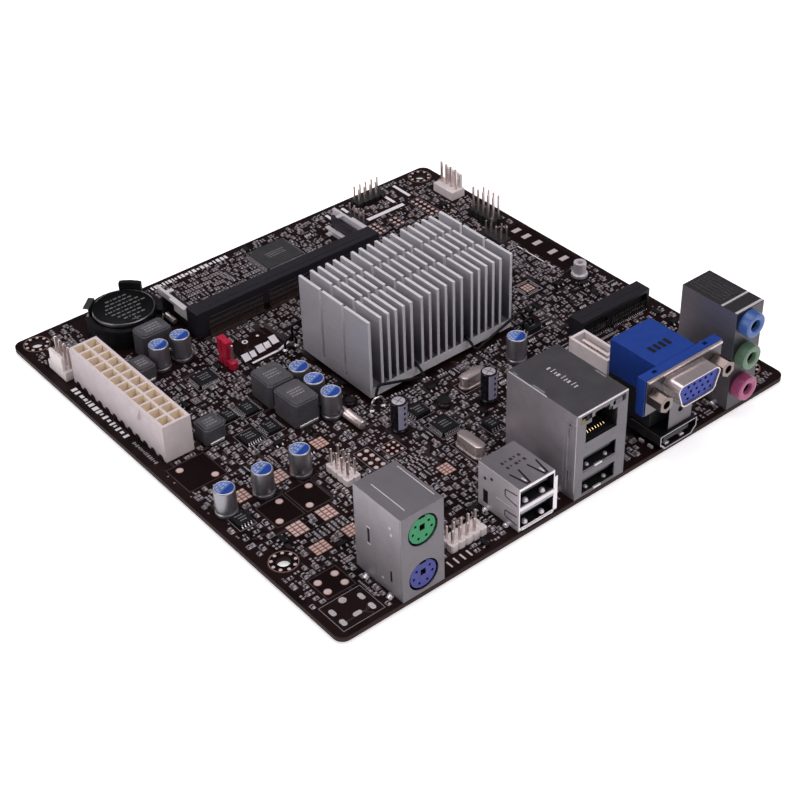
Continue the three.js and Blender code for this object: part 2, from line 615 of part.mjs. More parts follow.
function hdmiOutline(shrink) {
  const half = HDMI.width / 2 - shrink;
  const [low, high] = [HDMI.z[0] + shrink, HDMI.z[1] - shrink];
  const c = HDMI.centre;
  return [[c - half + 1.9, low], [c + half - 1.9, low], [c + half - 0.9, low + 1.2], [c + half, low + 1.9],
    [c + half, high], [c - half, high], [c - half, low + 1.9], [c - half + 0.9, low + 1.2]];
}

function hdmiShell() {
  const inside = prismY(hdmiOutline(SHEET), [HDMI.y[0] - 1, HDMI.y[1] - SHEET]);
  return cut(prismY(hdmiOutline(0), HDMI.y), [inside]);
}

function hdmiTongue() {
  const back = HDMI.y[1] - SHEET - 0.2;
  return join([
    prismY(hdmiOutline(SHEET + 0.2), [back - 3, back]),
    block([HDMI.centre - 5.2, HDMI.centre + 5.2], [HDMI.y[0] + 1.0, back - 2.8], [2.2, 3.6]),
  ]);
}

function audioHousing() {
  const a = AUDIO;
  const reach = [-1, AUDIO_JACK.boreDepth + 2];
  const bores = a.jackZ.map((z) => rodY(a.jackX, z, reach, AUDIO_JACK.radius - 0.9, ROUND));
  return cut(block(a.x, a.y, [SEAT_GAP, a.height]), bores);
}

function audioJack(level) {
  const a = AUDIO;
  const z = a.jackZ[level];
  const depth = AUDIO_JACK.boreDepth;
  const profile = [[-AUDIO_JACK.out, AUDIO_JACK.bore + 0.5], [-AUDIO_JACK.out, AUDIO_JACK.radius - 0.4],
    [-AUDIO_JACK.out + 0.4, AUDIO_JACK.radius], [-0.05, AUDIO_JACK.radius], [-0.05, AUDIO_JACK.radius - 1.2],
    [depth + 1.5, AUDIO_JACK.radius - 1.2], [depth + 1.5, 0], [depth, 0], [depth, AUDIO_JACK.bore],
    [-AUDIO_JACK.out + 0.5, AUDIO_JACK.bore], [-AUDIO_JACK.out, AUDIO_JACK.bore + 0.5]];
  const geometry = new THREE.LatheGeometry(profile.map(([y, r]) => new THREE.Vector2(r, y)), 20);
  geometry.translate(a.jackX, 0, z);
  return toSolid(geometry);
}

// --------------------------------------------------------------------- inner sockets

function sataConnector() {
  const s = SATA;
  const { wall, floor, height } = s;
  const outer = block(s.x, s.y, [SEAT_GAP, height]);
  const hollow = block([s.x[0] + wall, s.x[1] - wall], [s.y[0] + wall, s.y[1] - wall], [floor, height + 1]);
  const middle = (s.x[0] + s.x[1]) / 2;
  const tongue = join([
    block([middle - 0.6, middle + 0.6], [s.y[0] + 2.6, s.y[1] - 2.6], [floor - 0.2, height - 0.8]),
    block([middle - 0.6, middle + 1.5], [s.y[0] + 2.6, s.y[0] + 3.8], [floor - 0.2, height - 0.8]),
  ]);
  return join([cut(outer, [hollow]), tongue]);
}

function miniPcieSocket() {
  const m = MINI_PCIE;
  const slot = [
    block([m.x[0] + 1.2, m.key - 0.6], [m.y[0] + 2.6, m.y[1] + 1], m.slot),
    block([m.key + 0.6, m.x[1] - 1.2], [m.y[0] + 2.6, m.y[1] + 1], m.slot),
  ];
  const relief = [
    block([m.x[0] + 1.0, m.key - 0.5], [m.y[0] - 1, m.y[0] + 1.6], [-1, m.height - 1.6]),
    block([m.key + 0.5, m.x[1] - 1.0], [m.y[0] - 1, m.y[0] + 1.6], [-1, m.height - 1.6]),
  ];
  return cut(block(m.x, m.y, [SEAT_GAP, m.height]), [...slot, ...relief]);
}

function miniPciePost() {
  const { x, y, radius, height } = MINI_PCIE_POST;
  const body = join([
    rodZ(x, y, [SEAT_GAP, 1.1], radius + 0.7, 16),
    rodZ(x, y, [0.9, height], radius, 16),
  ]);
  return cut(body, [rodZ(x, y, [1.4, height + 1], 1.0, SMALL_ROUND)]);
}

// ------------------------------------------------------------- capacitors and coils

function canProfile(radius, height, groove) {
  return [[0, SEAT_GAP], [radius, SEAT_GAP], [radius, groove], [radius - 0.3, groove + 0.35],
    [radius, groove + 0.7], [radius, height - 0.3], [radius - 0.3, height], [0, height]]
    .map(([r, z]) => new THREE.Vector2(r, z));
}

function capacitor([x, y], { radius, height }, groove) {
  const geometry = new THREE.LatheGeometry(canProfile(radius, height, groove), 16);
  geometry.rotateX(Math.PI / 2);
  geometry.translate(x, y, 0);
  return toSolid(geometry);
}

function inductor({ x, y, height }) {
  const chamfer = 0.9;
  const core = (inset, z) => prismZ(roundedRectangle([x[0] + inset, x[1] - inset],
    [y[0] + inset, y[1] - inset], chamfer, 1), z);
  const foot = block([x[0] + 1.2, x[1] - 1.2], [y[0] - 0.25, y[1] + 0.25], [SEAT_GAP, 0.9]);
  return join([core(0, [SEAT_GAP, height - 0.5]), core(0.4, [height - 0.7, height]), foot]);
}

// --------------------------------------------------------------------------- headers

function pin(x, y, [z0, z1]) {
  return block([x - PIN / 2, x + PIN / 2], [y - PIN / 2, y + PIN / 2], [z0, z1]);
}

function fanHeader({ x, y, wallSide }) {
  const f = FAN_HEADER;
  const middleX = (x[0] + x[1]) / 2;
  const middleY = (y[0] + y[1]) / 2;
  const wallX = wallSide < 0 ? [x[0], x[0] + f.wallThickness] : [x[1] - f.wallThickness, x[1]];
  const pins = Array.from({ length: f.pins }, (_, i) => pin(middleX, middleY + (i - (f.pins - 1) / 2) * PITCH,
    [f.base - 0.5, f.pinTop]));
  return join([
    block(x, y, [SEAT_GAP, f.base]),
    block(wallX, [y[0] + 1.2, y[1] - 1.6], [f.base - 0.2, f.wall]),
    ...pins,
  ]);
}

function panelHeader() {
  const h = PANEL_HEADER;
  const [firstY, rows] = h.y;
  const body = block([h.x - PITCH, h.x + PITCH],
    [firstY - PITCH / 2, firstY + (rows - 0.5) * PITCH], [SEAT_GAP, h.base]);
  const pins = [];
  for (const side of [-1, 1]) {
    for (let row = 0; row < rows; row += 1) {
      if (side > 0 && row === rows - 1) continue;
      pins.push(pin(h.x + (side * PITCH) / 2, firstY + row * PITCH, [h.base - 0.5, h.pinTop]));
    }
  }
  return join([body, ...pins]);
}

function cmosHeader() {
  const h = CMOS_HEADER;
  const half = PITCH / 2 - 0.03;
  const body = block([h.x - half, h.x + half], [h.y - half, h.y + (h.pins - 0.5) * PITCH],
    [SEAT_GAP, h.base]);
  const pins = Array.from({ length: h.pins }, (_, i) => pin(h.x, h.y + i * PITCH, [h.base - 0.5, h.pinTop]));
  return join([body, ...pins]);
}

// A two-pin shorting cap on the header's second and third pins.
function jumperCap() {
  const h = CMOS_HEADER;
  const { width, z } = JUMPER_CAP;
  const y0 = h.y + PITCH / 2 + 0.1;
  const y1 = h.y + 2.5 * PITCH;
  const outer = block([h.x - width / 2, h.x + width / 2], [y0, y1], z);
  const bores = [1, 2].map((i) => block([h.x - 0.45, h.x + 0.45],
    [h.y + i * PITCH - 0.45, h.y + i * PITCH + 0.45], [z[0] - 1, h.pinTop + 0.1]));
  const waist = [-1, 1].map((side) => {
    const x = h.x + (side * width) / 2;
    const y = (y0 + y1) / 2;
    return block([x - 0.3, x + 0.3], [y - 0.5, y + 0.5], [z[0] + 1.2, z[1] + 1]);
  });
  return cut(outer, [...bores, ...waist]);
}

// -------------------------------------------------------------------------- assembly

const motherboard = new THREE.Group();
const onBoard = new THREE.Group();
onBoard.position.set(-BOARD_SIDE / 2, -BOARD_SIDE / 2, BOARD_THICKNESS);
motherboard.add(onBoard);

function add(name, solid, material) {
  const mesh = new THREE.Mesh(toGeometry(solid), material);
  mesh.name = name;
  onBoard.add(mesh);
}

add('circuit_board', circuitBoard(), FINISH.board());
add('soc_package', socPackage(), FINISH.silicon());
add('heatsink', heatsink(), FINISH.aluminium());
[[-1, 'left'], [1, 'right']].forEach(([side, sideName]) => {
  const anchors = ANCHORS[sideName];
  add(`heatsink_clip_${sideName}`, heatsinkClip(side, anchors), FINISH.springWire());
  add(`clip_anchor_${sideName}_front`, clipAnchor(anchors.front), FINISH.tinned());
  add(`clip_anchor_${sideName}_rear`, clipAnchor(anchors.rear), FINISH.tinned());
});

add('atx_power_socket', atxSocket(), FINISH.ivory());
add('sodimm_socket', sodimmSocket(), FINISH.slotGrey());
add('sodimm_latch_left', sodimmLatch(-1), FINISH.tinned());
add('sodimm_latch_right', sodimmLatch(1), FINISH.tinned());

add('battery_holder', batteryHolder(), FINISH.black());
add('battery_contact', batteryContact(), FINISH.tinned());
add('coin_cell', coinCell(), FINISH.can());

add('ps2_shell', ps2Shell(), FINISH.shell());
add('ps2_keyboard_port', ps2Port(0), FINISH.purple());
add('ps2_mouse_port', ps2Port(1), FINISH.green());
add('usb_shell', usbShell(), FINISH.shell());
add('usb_insert', usbInsert([USB.x[0] + 0.7, USB.x[1] - 0.7], [USB.y[0] + 0.4, USB.y[1] - 0.7],
  [0.9, USB.height - 0.7], USB.slots, 9.5), FINISH.black());
add('lan_usb_shell', lanShell(), FINISH.shell());
add('lan_jack_insert', lanJackInsert(), FINISH.black());
add('lan_usb_insert', usbInsert([LAN.x[0] + 0.7, LAN.x[1] - 0.7], [LAN.y[0] + 0.4, LAN.y[1] - 0.7],
  [0.9, 15.8], LAN_SLOTS.z, 10), FINISH.black());

add('vga_body', vgaBody(), FINISH.blue());
add('vga_front_shell', vgaFrontShell(), FINISH.shell());
add('vga_socket_face', vgaSocketFace(), FINISH.blueFace());
add('vga_jackscrew_left', vgaJackscrew(-1), FINISH.shell());
add('vga_jackscrew_right', vgaJackscrew(1), FINISH.shell());
add('video_base', videoBase(), FINISH.black());
add('hdmi_shell', hdmiShell(), FINISH.shell());
add('hdmi_tongue', hdmiTongue(), FINISH.black());

add('audio_housing', audioHousing(), FINISH.shell());
[['microphone', FINISH.jackPink], ['line_out', FINISH.jackGreen], ['line_in', FINISH.jackBlue]]
  .forEach(([use, material], level) => add(`audio_jack_${use}`, audioJack(level), material()));

add('sata_connector', sataConnector(), FINISH.white());
add('mini_pcie_socket', miniPcieSocket(), FINISH.slotGrey());
add('mini_pcie_post', miniPciePost(), FINISH.tinned());

POLYMER_CAPACITORS.forEach((place, i) => {
  add(`polymer_capacitor_${i + 1}`, capacitor(place, POLYMER_CAPACITOR, 0.8), FINISH.can());
});
ELECTROLYTICS.forEach((place, i) => {
  add(`electrolytic_capacitor_${i + 1}`, capacitor(place, ELECTROLYTIC, 1.0), FINISH.sleeve());
});
INDUCTORS.forEach((size, i) => add(`inductor_${i + 1}`, inductor(size), FINISH.ferrite()));

add('cpu_fan_header', fanHeader(CPU_FAN), FINISH.white());
add('system_fan_header', fanHeader(SYSTEM_FAN), FINISH.white());
add('front_panel_header', panelHeader(), FINISH.black());
add('clear_cmos_header', cmosHeader(), FINISH.red());
add('jumper_cap', jumperCap(), FINISH.red());

export default motherboard;
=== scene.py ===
# The looks of a small motherboard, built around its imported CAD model.
# Positions are written in board millimetres, as on a board drawing: x and y run from the
# corner beside the PS/2 sockets, and z = 0 is the top of the board.

import math
import random

import bmesh
import bpy
from mathutils import Matrix, Vector


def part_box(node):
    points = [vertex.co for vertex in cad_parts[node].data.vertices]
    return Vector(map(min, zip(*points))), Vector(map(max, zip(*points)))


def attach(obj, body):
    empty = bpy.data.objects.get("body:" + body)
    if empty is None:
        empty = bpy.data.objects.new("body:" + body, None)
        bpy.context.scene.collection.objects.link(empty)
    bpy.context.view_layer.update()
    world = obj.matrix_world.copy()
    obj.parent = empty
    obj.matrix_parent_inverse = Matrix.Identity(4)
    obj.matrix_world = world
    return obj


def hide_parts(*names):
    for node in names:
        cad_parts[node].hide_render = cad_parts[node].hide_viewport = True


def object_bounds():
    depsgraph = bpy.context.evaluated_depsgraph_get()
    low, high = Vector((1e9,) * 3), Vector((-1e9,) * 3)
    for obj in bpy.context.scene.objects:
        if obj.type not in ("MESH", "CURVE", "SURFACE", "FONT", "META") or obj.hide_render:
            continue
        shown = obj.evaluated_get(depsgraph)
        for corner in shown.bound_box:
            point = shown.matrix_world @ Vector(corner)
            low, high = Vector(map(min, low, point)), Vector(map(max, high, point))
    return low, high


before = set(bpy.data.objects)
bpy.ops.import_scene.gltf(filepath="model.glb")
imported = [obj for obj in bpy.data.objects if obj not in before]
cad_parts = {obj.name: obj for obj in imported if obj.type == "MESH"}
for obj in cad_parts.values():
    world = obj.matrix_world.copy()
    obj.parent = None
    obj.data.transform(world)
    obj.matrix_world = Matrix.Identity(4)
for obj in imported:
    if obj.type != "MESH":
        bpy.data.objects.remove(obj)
cad_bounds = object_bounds()

MM = 0.001
BOARD_SIDE = 170.0
BOARD_THICKNESS = 1.6
PITCH = 2.54               # from pin to pin in a header
PIN = 0.64                 # a header pin's thickness
SIDES = (("left", -1), ("right", 1))


def place(x, y, z):
    """A point in board millimetres, in the row frame's metres."""
    return Vector((x - BOARD_SIDE / 2, y - BOARD_SIDE / 2, z + BOARD_THICKNESS)) * MM


def span(node):
    """The x, y and z ranges of a CAD node, in board millimetres."""
    low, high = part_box(node)
    shift = (BOARD_SIDE / 2, BOARD_SIDE / 2, -BOARD_THICKNESS)
    return [(low[i] / MM + shift[i], high[i] / MM + shift[i]) for i in range(3)]


def about(middle, half):
    """The range that reaches as far to both sides of a middle."""
    return middle - half, middle + half


def inside(limits, margin):
    return limits[0] + margin, limits[1] - margin


def mid(limits):
    return (limits[0] + limits[1]) / 2


def beside(wall, side, first, second):
    """The range between two distances from a wall, outwards on its side, -1 or 1."""
    return sorted((wall + side * first, wall + side * second))


# ------------------------------------------------------------------------------ camera

AIM = Vector((-0.0094, -0.0163, 0.0))
AZIMUTH, ELEVATION, ROLL = math.radians(-38.2), math.radians(37.6), math.radians(-1.85)
DISTANCE = 0.4964
LENS = 74.3


def make_camera():
    data = bpy.data.cameras.new("camera")
    data.lens, data.clip_start = LENS, 0.01
    camera = bpy.data.objects.new("camera", data)
    bpy.context.scene.collection.objects.link(camera)
    level = math.cos(ELEVATION)
    away = Vector((math.sin(AZIMUTH) * level, -math.cos(AZIMUTH) * level, math.sin(ELEVATION)))
    turn = away.to_track_quat("Z", "Y").to_matrix().to_4x4()
    stand = Matrix.Translation(AIM + away * DISTANCE)
    camera.matrix_world = stand @ turn @ Matrix.Rotation(ROLL, 4, "Z")
    bpy.context.scene.camera = camera


# --------------------------------------------------------------------------- materials

def scaled(colour, factor):
    return tuple(min(1.0, channel * factor) for channel in colour[:3]) + (1.0,)


class Paint:
    """Builds one procedural material, node by node."""

    def __init__(self):
        self.material = bpy.data.materials.new("finish")
        self.material.use_nodes = True
        self.tree = self.material.node_tree
        self.shader = self.tree.nodes["Principled BSDF"]
        self.place = self.tree.nodes.new("ShaderNodeTexCoord").outputs["Object"]

    def feed(self, socket, value):
        """Links a socket to another, or sets its constant."""
        if isinstance(value, bpy.types.NodeSocket):
            self.tree.links.new(value, socket)
        else:
            socket.default_value = value

    def node(self, kind, inputs, **settings):
        made = self.tree.nodes.new(kind)
        for key, value in settings.items():
            setattr(made, key, value)
        for key, value in inputs.items():
            self.feed(made.inputs[key], value)
        return made

    def stretched(self, scale):
        return self.node("ShaderNodeMapping", {"Vector": self.place, "Scale": scale}).outputs[0]

    def noise(self, size_mm, detail=3.0, vector=None):
        return self.node("ShaderNodeTexNoise", {
            "Vector": vector or self.place, "Scale": 1.0 / (size_mm * MM), "Detail": detail,
            "Roughness": 0.55}).outputs["Fac"]

    def ramp(self, value, *stops):
        made = self.node("ShaderNodeValToRGB", {"Fac": value})
        for element, (position, colour) in zip(made.color_ramp.elements, stops):
            element.position = position
            element.color = tuple(colour[:3]) + (1.0,)
        return made.outputs["Color"]

    def between(self, value, low, high, start=0.3, end=0.7):
        return self.node("ShaderNodeMapRange", {
            "Value": value, "From Min": start, "From Max": end, "To Min": low,
            "To Max": high}).outputs["Result"]

    def mix(self, factor, first, second):
        inputs = {0: factor, 6: first, 7: second}
        return self.node("ShaderNodeMix", inputs, data_type="RGBA").outputs[2]

    def set(self, colour, roughness, relief, depth_mm, metallic=0.0, specular=0.5):
        """Feeds the shader, with a bump from the relief, and hands over the material."""
        bump = self.node("ShaderNodeBump", {"Height": relief, "Distance": depth_mm * MM})
        for key, value in (("Base Color", colour), ("Roughness", roughness), ("Metallic", metallic),
                           ("Specular IOR Level", specular), ("Normal", bump.outputs["Normal"])):
            self.feed(self.shader.inputs[key], value)
        return self.material


def plastic(colour, roughness=0.45, grain_mm=0.35, relief_mm=0.012, tint=0.10, specular=0.5):
    """Moulded plastic: a slightly mottled colour and a fine spark-eroded grain."""
    paint = Paint()
    cloud = paint.noise(3.0, 4.0)
    grain = paint.noise(grain_mm)
    shades = paint.ramp(cloud, (0.35, scaled(colour, 1 - tint)), (0.65, scaled(colour, 1 + tint)))
    return paint.set(shades, paint.between(grain, roughness - 0.06, roughness + 0.08), grain,
                     relief_mm, specular=specular)


STREAK = (1, 0.06, 1)      # noise scales that draw it out along y
LONG_STREAK = (1, 0.04, 1)


def metal(colour, roughness, metallic=1.0, stain=0.10, tint=0.08, streak=(1, 1, 1), grain_mm=0.5,
          relief_mm=0.004):
    """Plated or rolled sheet: long faint streaks, and cloudy patches that differ in gloss."""
    paint = Paint()
    lines = paint.noise(grain_mm, 4.0, paint.stretched(streak))
    cloud = paint.noise(6.0)
    shades = paint.ramp(lines, (0.3, scaled(colour, 1 - tint)), (0.7, scaled(colour, 1 + tint)))
    stained = paint.mix(paint.between(cloud, 0.0, stain, 0.45, 0.75), shades, scaled(colour, 0.55))
    return paint.set(stained, paint.between(cloud, roughness - 0.02, roughness + 0.04), lines,
                     relief_mm, metallic)


def board_lacquer():
    """Very dark brown solder mask, with the copper beneath showing as slightly raised paths."""
    paint = Paint()
    cloud = paint.noise(9.0)
    fine = paint.noise(0.5)
    cells = paint.node("ShaderNodeTexVoronoi", {
        "Vector": paint.place, "Scale": 1.0 / (11.0 * MM)}, distance="CHEBYCHEV")
    pour = paint.between(cells.outputs["Distance"], 0.0, 1.0, 0.30, 0.32)
    dark = paint.ramp(cloud, (0.35, (0.0055, 0.0020, 0.0022)), (0.7, (0.0085, 0.0031, 0.0033)))
    copper = paint.ramp(fine, (0.35, (0.0105, 0.0042, 0.0043)), (0.7, (0.0150, 0.0062, 0.0062)))
    height = paint.node("ShaderNodeMath", {0: pour, 1: paint.between(fine, 0.0, 0.3)},
                        operation="ADD")
    return paint.set(paint.mix(pour, dark, copper), paint.between(fine, 0.30, 0.42),
                     height.outputs[0], 0.02, specular=0.08)


def board_core():
    """The cut edge of the laminate: thin glass layers in brown resin."""
    paint = Paint()
    layers = paint.node("ShaderNodeTexWave", {
        "Vector": paint.place, "Scale": 1.0 / (4.0 * MM), "Distortion": 1.0, "Detail": 2.0},
        bands_direction="Z")
    shades = paint.ramp(layers.outputs["Fac"], (0.2, (0.018, 0.009, 0.008)),
                        (0.8, (0.036, 0.018, 0.014)))
    fine = paint.noise(0.3)
    return paint.set(shades, paint.between(fine, 0.55, 0.75), fine, 0.02, specular=0.15)


def heatsink_metal():
    """Extruded aluminium: fine lines along the fins, and painted shade deep between them."""
    paint = Paint()
    lines = paint.noise(0.35, 4.0, paint.stretched((1.0, 0.02, 1.0)))
    cloud = paint.noise(10.0)
    shades = paint.ramp(lines, (0.3, (0.74, 0.73, 0.765)), (0.7, (0.82, 0.81, 0.845)))
    low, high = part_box("heatsink")
    # Painted shade: the colour darkens with height towards the base, between the fins.
    height = paint.node("ShaderNodeSeparateXYZ", {0: paint.place}).outputs["Z"]
    painted_depth_shade = paint.between(height, 1.0, 0.0, low[2] + 0.003, high[2] - 0.002)
    shades = paint.mix(painted_depth_shade, shades, (0.20, 0.195, 0.215, 1.0))
    return paint.set(shades, paint.between(cloud, 0.40, 0.50), lines, 0.006, 0.75)


def ferrite():
    """Pressed iron powder: dark grey, grainy and a little sparkly."""
    paint = Paint()
    specks = paint.noise(0.22, 2.0)
    cloud = paint.noise(3.5)
    base = paint.ramp(cloud, (0.35, (0.054, 0.052, 0.059)), (0.7, (0.076, 0.073, 0.083)))
    light = paint.mix(paint.between(specks, 0.0, 0.45, 0.5, 0.7), base, (0.22, 0.215, 0.24, 1.0))
    return paint.set(light, paint.between(specks, 0.40, 0.55), specks, 0.03, 0.1)


FINISHES = {  # each of the record's material slots, and the finishes that show it
    "board_lacquer": {
        "lacquer": board_lacquer(),
        "core": board_core(),
        "printing": plastic((0.27, 0.25, 0.275), 0.6, 0.2, 0.004),
        "printing_bright": plastic((0.80, 0.77, 0.80), 0.6, 0.2, 0.004, 0.06),
        "trace": plastic((0.050, 0.040, 0.042), 0.4, 0.4, 0.004, 0.15, 0.2),
        "trace_dark": plastic((0.0070, 0.0024, 0.0026), 0.5, 0.5, 0.001, 0.04, 0.06)},
    "tinned_wire": {
        "tinned": metal((0.74, 0.70, 0.70), 0.25, relief_mm=0.003),
        "pin": metal((0.72, 0.61, 0.57), 0.34, stain=0.0, tint=0.05),
        "pad": metal((0.58, 0.295, 0.215), 0.42, 0.35, grain_mm=0.3, relief_mm=0.01),
        "pad_white": metal((0.68, 0.60, 0.61), 0.40, 0.3, grain_mm=0.3, relief_mm=0.01),
        "solder": metal((0.84, 0.81, 0.82), 0.25, 0.7, grain_mm=0.4, relief_mm=0.01),
        "solder_flat": metal((0.46, 0.42, 0.445), 0.36, 0.5, grain_mm=0.3, relief_mm=0.01),
        "copper": metal((0.78, 0.50, 0.40), 0.28),
        "contact_brown": metal((0.17, 0.125, 0.11), 0.4, 0.6, tint=0.1),
        "gold": metal((0.86, 0.62, 0.32), 0.25)},
    "package_black": {
        "chip": plastic((0.011, 0.011, 0.0125), 0.42, 0.12, 0.004, 0.15, 0.12),
        "chip_cap": plastic((0.15, 0.11, 0.095), 0.5, 0.2, 0.004, 0.15),
        "chip_grey": plastic((0.19, 0.175, 0.19), 0.5, 0.2, 0.004, 0.15),
        "chip_print": plastic((0.17, 0.17, 0.18), 0.5, 0.2, 0.003, 0.15),
        "chip_pale": plastic((0.034, 0.034, 0.035), 0.42, 0.12, 0.006, 0.12, 0.35)},
    "heatsink_aluminium": {
        "heatsink": heatsink_metal(),
        # Lit and shaded copies of the heatsink metal: the darker one is painted shade on the outer
        # side walls, the lighter one painted light on the tops and fin ends.
        "heatsink_painted_shade_walls": metal((0.58, 0.57, 0.61), 0.42, 0.6, 0.0, 0.05, LONG_STREAK),
        "heatsink_painted_light_faces": metal((0.93, 0.92, 0.96), 0.42, 0.45, 0.0, streak=LONG_STREAK)},
    "spring_wire_black": {
        "spring_wire": metal((0.018, 0.018, 0.020), 0.34, stain=0.0, tint=0.2)},
    "spring_steel": {
        "spring": metal((0.86, 0.83, 0.85), 0.34, 0.45, streak=(1, 0.05, 1)),
        "spring_dark": metal((0.16, 0.155, 0.16), 0.30, 0.9, streak=(1, 0.05, 1))},
    "nickel_shell": {
        "nickel": metal((0.43, 0.405, 0.43), 0.38, 0.72, 0.34, 0.05, STREAK),
        # Darker and lighter copies of the nickel for faces that look forward or up are painted
        # shade and painted light; the bright and the dark nickel also serve as painted highlights
        # and painted shade on some parts.
        "nickel_painted_shade_front": metal((0.155, 0.147, 0.156), 0.36, stain=0.2, tint=0.04, streak=STREAK),
        "nickel_painted_shade_top": metal((0.28, 0.27, 0.285), 0.32, stain=0.0, tint=0.05, streak=STREAK),
        "nickel_bright": metal((0.80, 0.76, 0.785), 0.34, 0.48, 0.06, 0.03, STREAK),
        "nickel_painted_shading_on_tops": metal((0.47, 0.445, 0.47), 0.30, 0.9, 0.25, 0.04, STREAK),
        "nickel_dark": metal((0.10, 0.097, 0.10), 0.36, stain=0.3, streak=STREAK),
        "nickel_warm": metal((0.58, 0.50, 0.48), 0.28, 0.75, streak=STREAK, relief_mm=0.0005),
        "bronze": metal((0.24, 0.195, 0.18), 0.27, stain=0.2, tint=0.05),
        "collar": metal((0.66, 0.575, 0.56), 0.22, 0.72, streak=STREAK, relief_mm=0.001)},
    "audio_shield": {
        "shield": metal((0.42, 0.40, 0.43), 0.32, 0.85, 0.25, streak=LONG_STREAK),
        # Darker copies of the shield for its front and top faces, painted shade.
        "shield_painted_shade_front": metal((0.085, 0.081, 0.087), 0.36, stain=0.25, streak=LONG_STREAK),
        "shield_painted_shade_top": metal((0.10, 0.10, 0.105), 0.42, stain=0.3, streak=LONG_STREAK)},
    "black_plastic": {
        "black": plastic((0.014, 0.014, 0.016), 0.34, 0.3, 0.006, 0.15, 0.4),
        "holder": plastic((0.0065, 0.0065, 0.0075), 0.30, 0.3, 0.004, 0.12, 0.25),
        # Black laid into slits, windows, seams, holes and recesses, as painted shade.
        "gap": plastic((0.010, 0.010, 0.011), 0.6, 0.3, 0.004, 0.15, 0.2),
        "rubber": plastic((0.03, 0.03, 0.032), 0.65, 0.3, 0.01)},
    "ivory_plastic": {
        "ivory": plastic((0.70, 0.62, 0.61), 0.42, 0.5, 0.010, 0.04),
        # A darker copy of the ivory for the left faces, painted shade, and a lighter one inside the
        # pockets, painted light where shade would fall.
        "ivory_painted_shade_side": plastic((0.50, 0.44, 0.445), 0.42, 0.5, 0.010, 0.05),
        "ivory_painted_glow_inside": plastic((0.93, 0.79, 0.62), 0.5, 0.5, 0.010, 0.04)},
    "white_plastic": {
        "white": plastic((0.74, 0.67, 0.66), 0.42, 0.5, 0.010, 0.04),
        "lamp_yellow": plastic((0.13, 0.10, 0.012), 0.25, 0.4, 0.004, 0.08),
        "lamp_grey": plastic((0.06, 0.062, 0.07), 0.25, 0.4, 0.004, 0.08)},
    "capacitor_can": {
        "can": metal((0.32, 0.312, 0.335), 0.36, 0.92, 0.0, 0.08, (0.3, 0.3, 6), 0.4, 0.0006),
        "can_top": metal((0.62, 0.60, 0.64), 0.42, 0.6, 0.0),
        "can_print_pale": plastic((0.10, 0.20, 0.50), 0.4, 0.3, 0.004, 0.25),
        "can_print": plastic((0.010, 0.055, 0.30), 0.35, 0.3, 0.004, 0.08, 0.35)},
    "capacitor_sleeve": {
        "sleeve": plastic((0.0055, 0.0055, 0.0085), 0.26, 0.6, 0.0008, 0.12, 0.3),
        "sleeve_stripe": plastic((0.36, 0.35, 0.46), 0.30, 0.6, 0.0015, 0.06)},
    "ferrite_grey": {
        "ferrite": ferrite(),
        "ferrite_mark": plastic((0.24, 0.235, 0.25), 0.5, 0.2, 0.004, 0.15)},
    "cell_steel": {
        "cell": metal((0.008, 0.0077, 0.008), 0.36, 0.9, grain_mm=0.6, relief_mm=0.001),
        "cell_rim": metal((0.16, 0.155, 0.16), 0.30, stain=0.05),
        "cell_mark": plastic((0.14, 0.14, 0.145), 0.5, 0.2, 0.004)},
    "socket_dark_grey": {"slot": plastic((0.015, 0.0142, 0.0185), 0.44, 0.3, 0.008, 0.10, 0.25)},
    "green_plastic": {"green": plastic((0.032, 0.26, 0.105), 0.42, 0.4, 0.010, 0.06, 0.2)},
    "purple_plastic": {"purple": plastic((0.052, 0.055, 0.26), 0.42, 0.4, 0.010, 0.06, 0.2)},
    "blue_plastic": {"blue": plastic((0.009, 0.046, 0.27), 0.42, 0.5, 0.010, 0.08, 0.35)},
    "blue_face_plastic": {
        "blue_face": plastic((0.022, 0.045, 0.30), 0.42, 0.4, 0.010, 0.06, 0.25)},
    "pink_plastic": {"jack_pink": plastic((0.36, 0.07, 0.17), 0.30, 0.5, 0.006, 0.05)},
    "pale_green_plastic": {"jack_green": plastic((0.10, 0.18, 0.11), 0.30, 0.5, 0.006, 0.05)},
    "light_blue_plastic": {"jack_blue": plastic((0.038, 0.105, 0.32), 0.30, 0.5, 0.006, 0.05)},
    "red_plastic": {"red": plastic((0.48, 0.012, 0.045), 0.30, 0.4, 0.006, 0.06)},
}
MATERIALS, SLOTS = {}, {}
for record_slot, finishes in FINISHES.items():
    for finish, material in finishes.items():
        material.name = finish
        MATERIALS[finish], SLOTS[finish] = material, record_slot


# ------------------------------------------------------------------------- mesh making

def arc(cx, cy, radius, start, end, steps):
    """Points on an arc, with its angles in degrees."""
    angles = [math.radians(start + (end - start) * i / steps) for i in range(steps + 1)]
    return [(cx + radius * math.cos(a), cy + radius * math.sin(a)) for a in angles]


def ring(cx, cy, radius, sides):
    return arc(cx, cy, radius, 0, 360, sides)[:-1]


def rounded(x, y, radius):
    """A rectangle's outline with rounded corners."""
    (x0, x1), (y0, y1) = inside(x, radius), inside(y, radius)
    corners = ((x1, y0, -90), (x1, y1, 0), (x0, y1, 90), (x0, y0, 180))
    return [p for cx, cy, start in corners for p in arc(cx, cy, radius, start, start + 90, 4)]


def rectangle(u, v):
    return [(u[0], v[0]), (u[1], v[0]), (u[1], v[1]), (u[0], v[1])]


AXES = {  # how (u, v, along) of a shape drawn in its own plane turns into (x, y, z)
    "z": lambda u, v, w: (u, v, w),
    "y": lambda u, v, w: (u, w, v),
    "x": lambda u, v, w: (w, u, v),
}


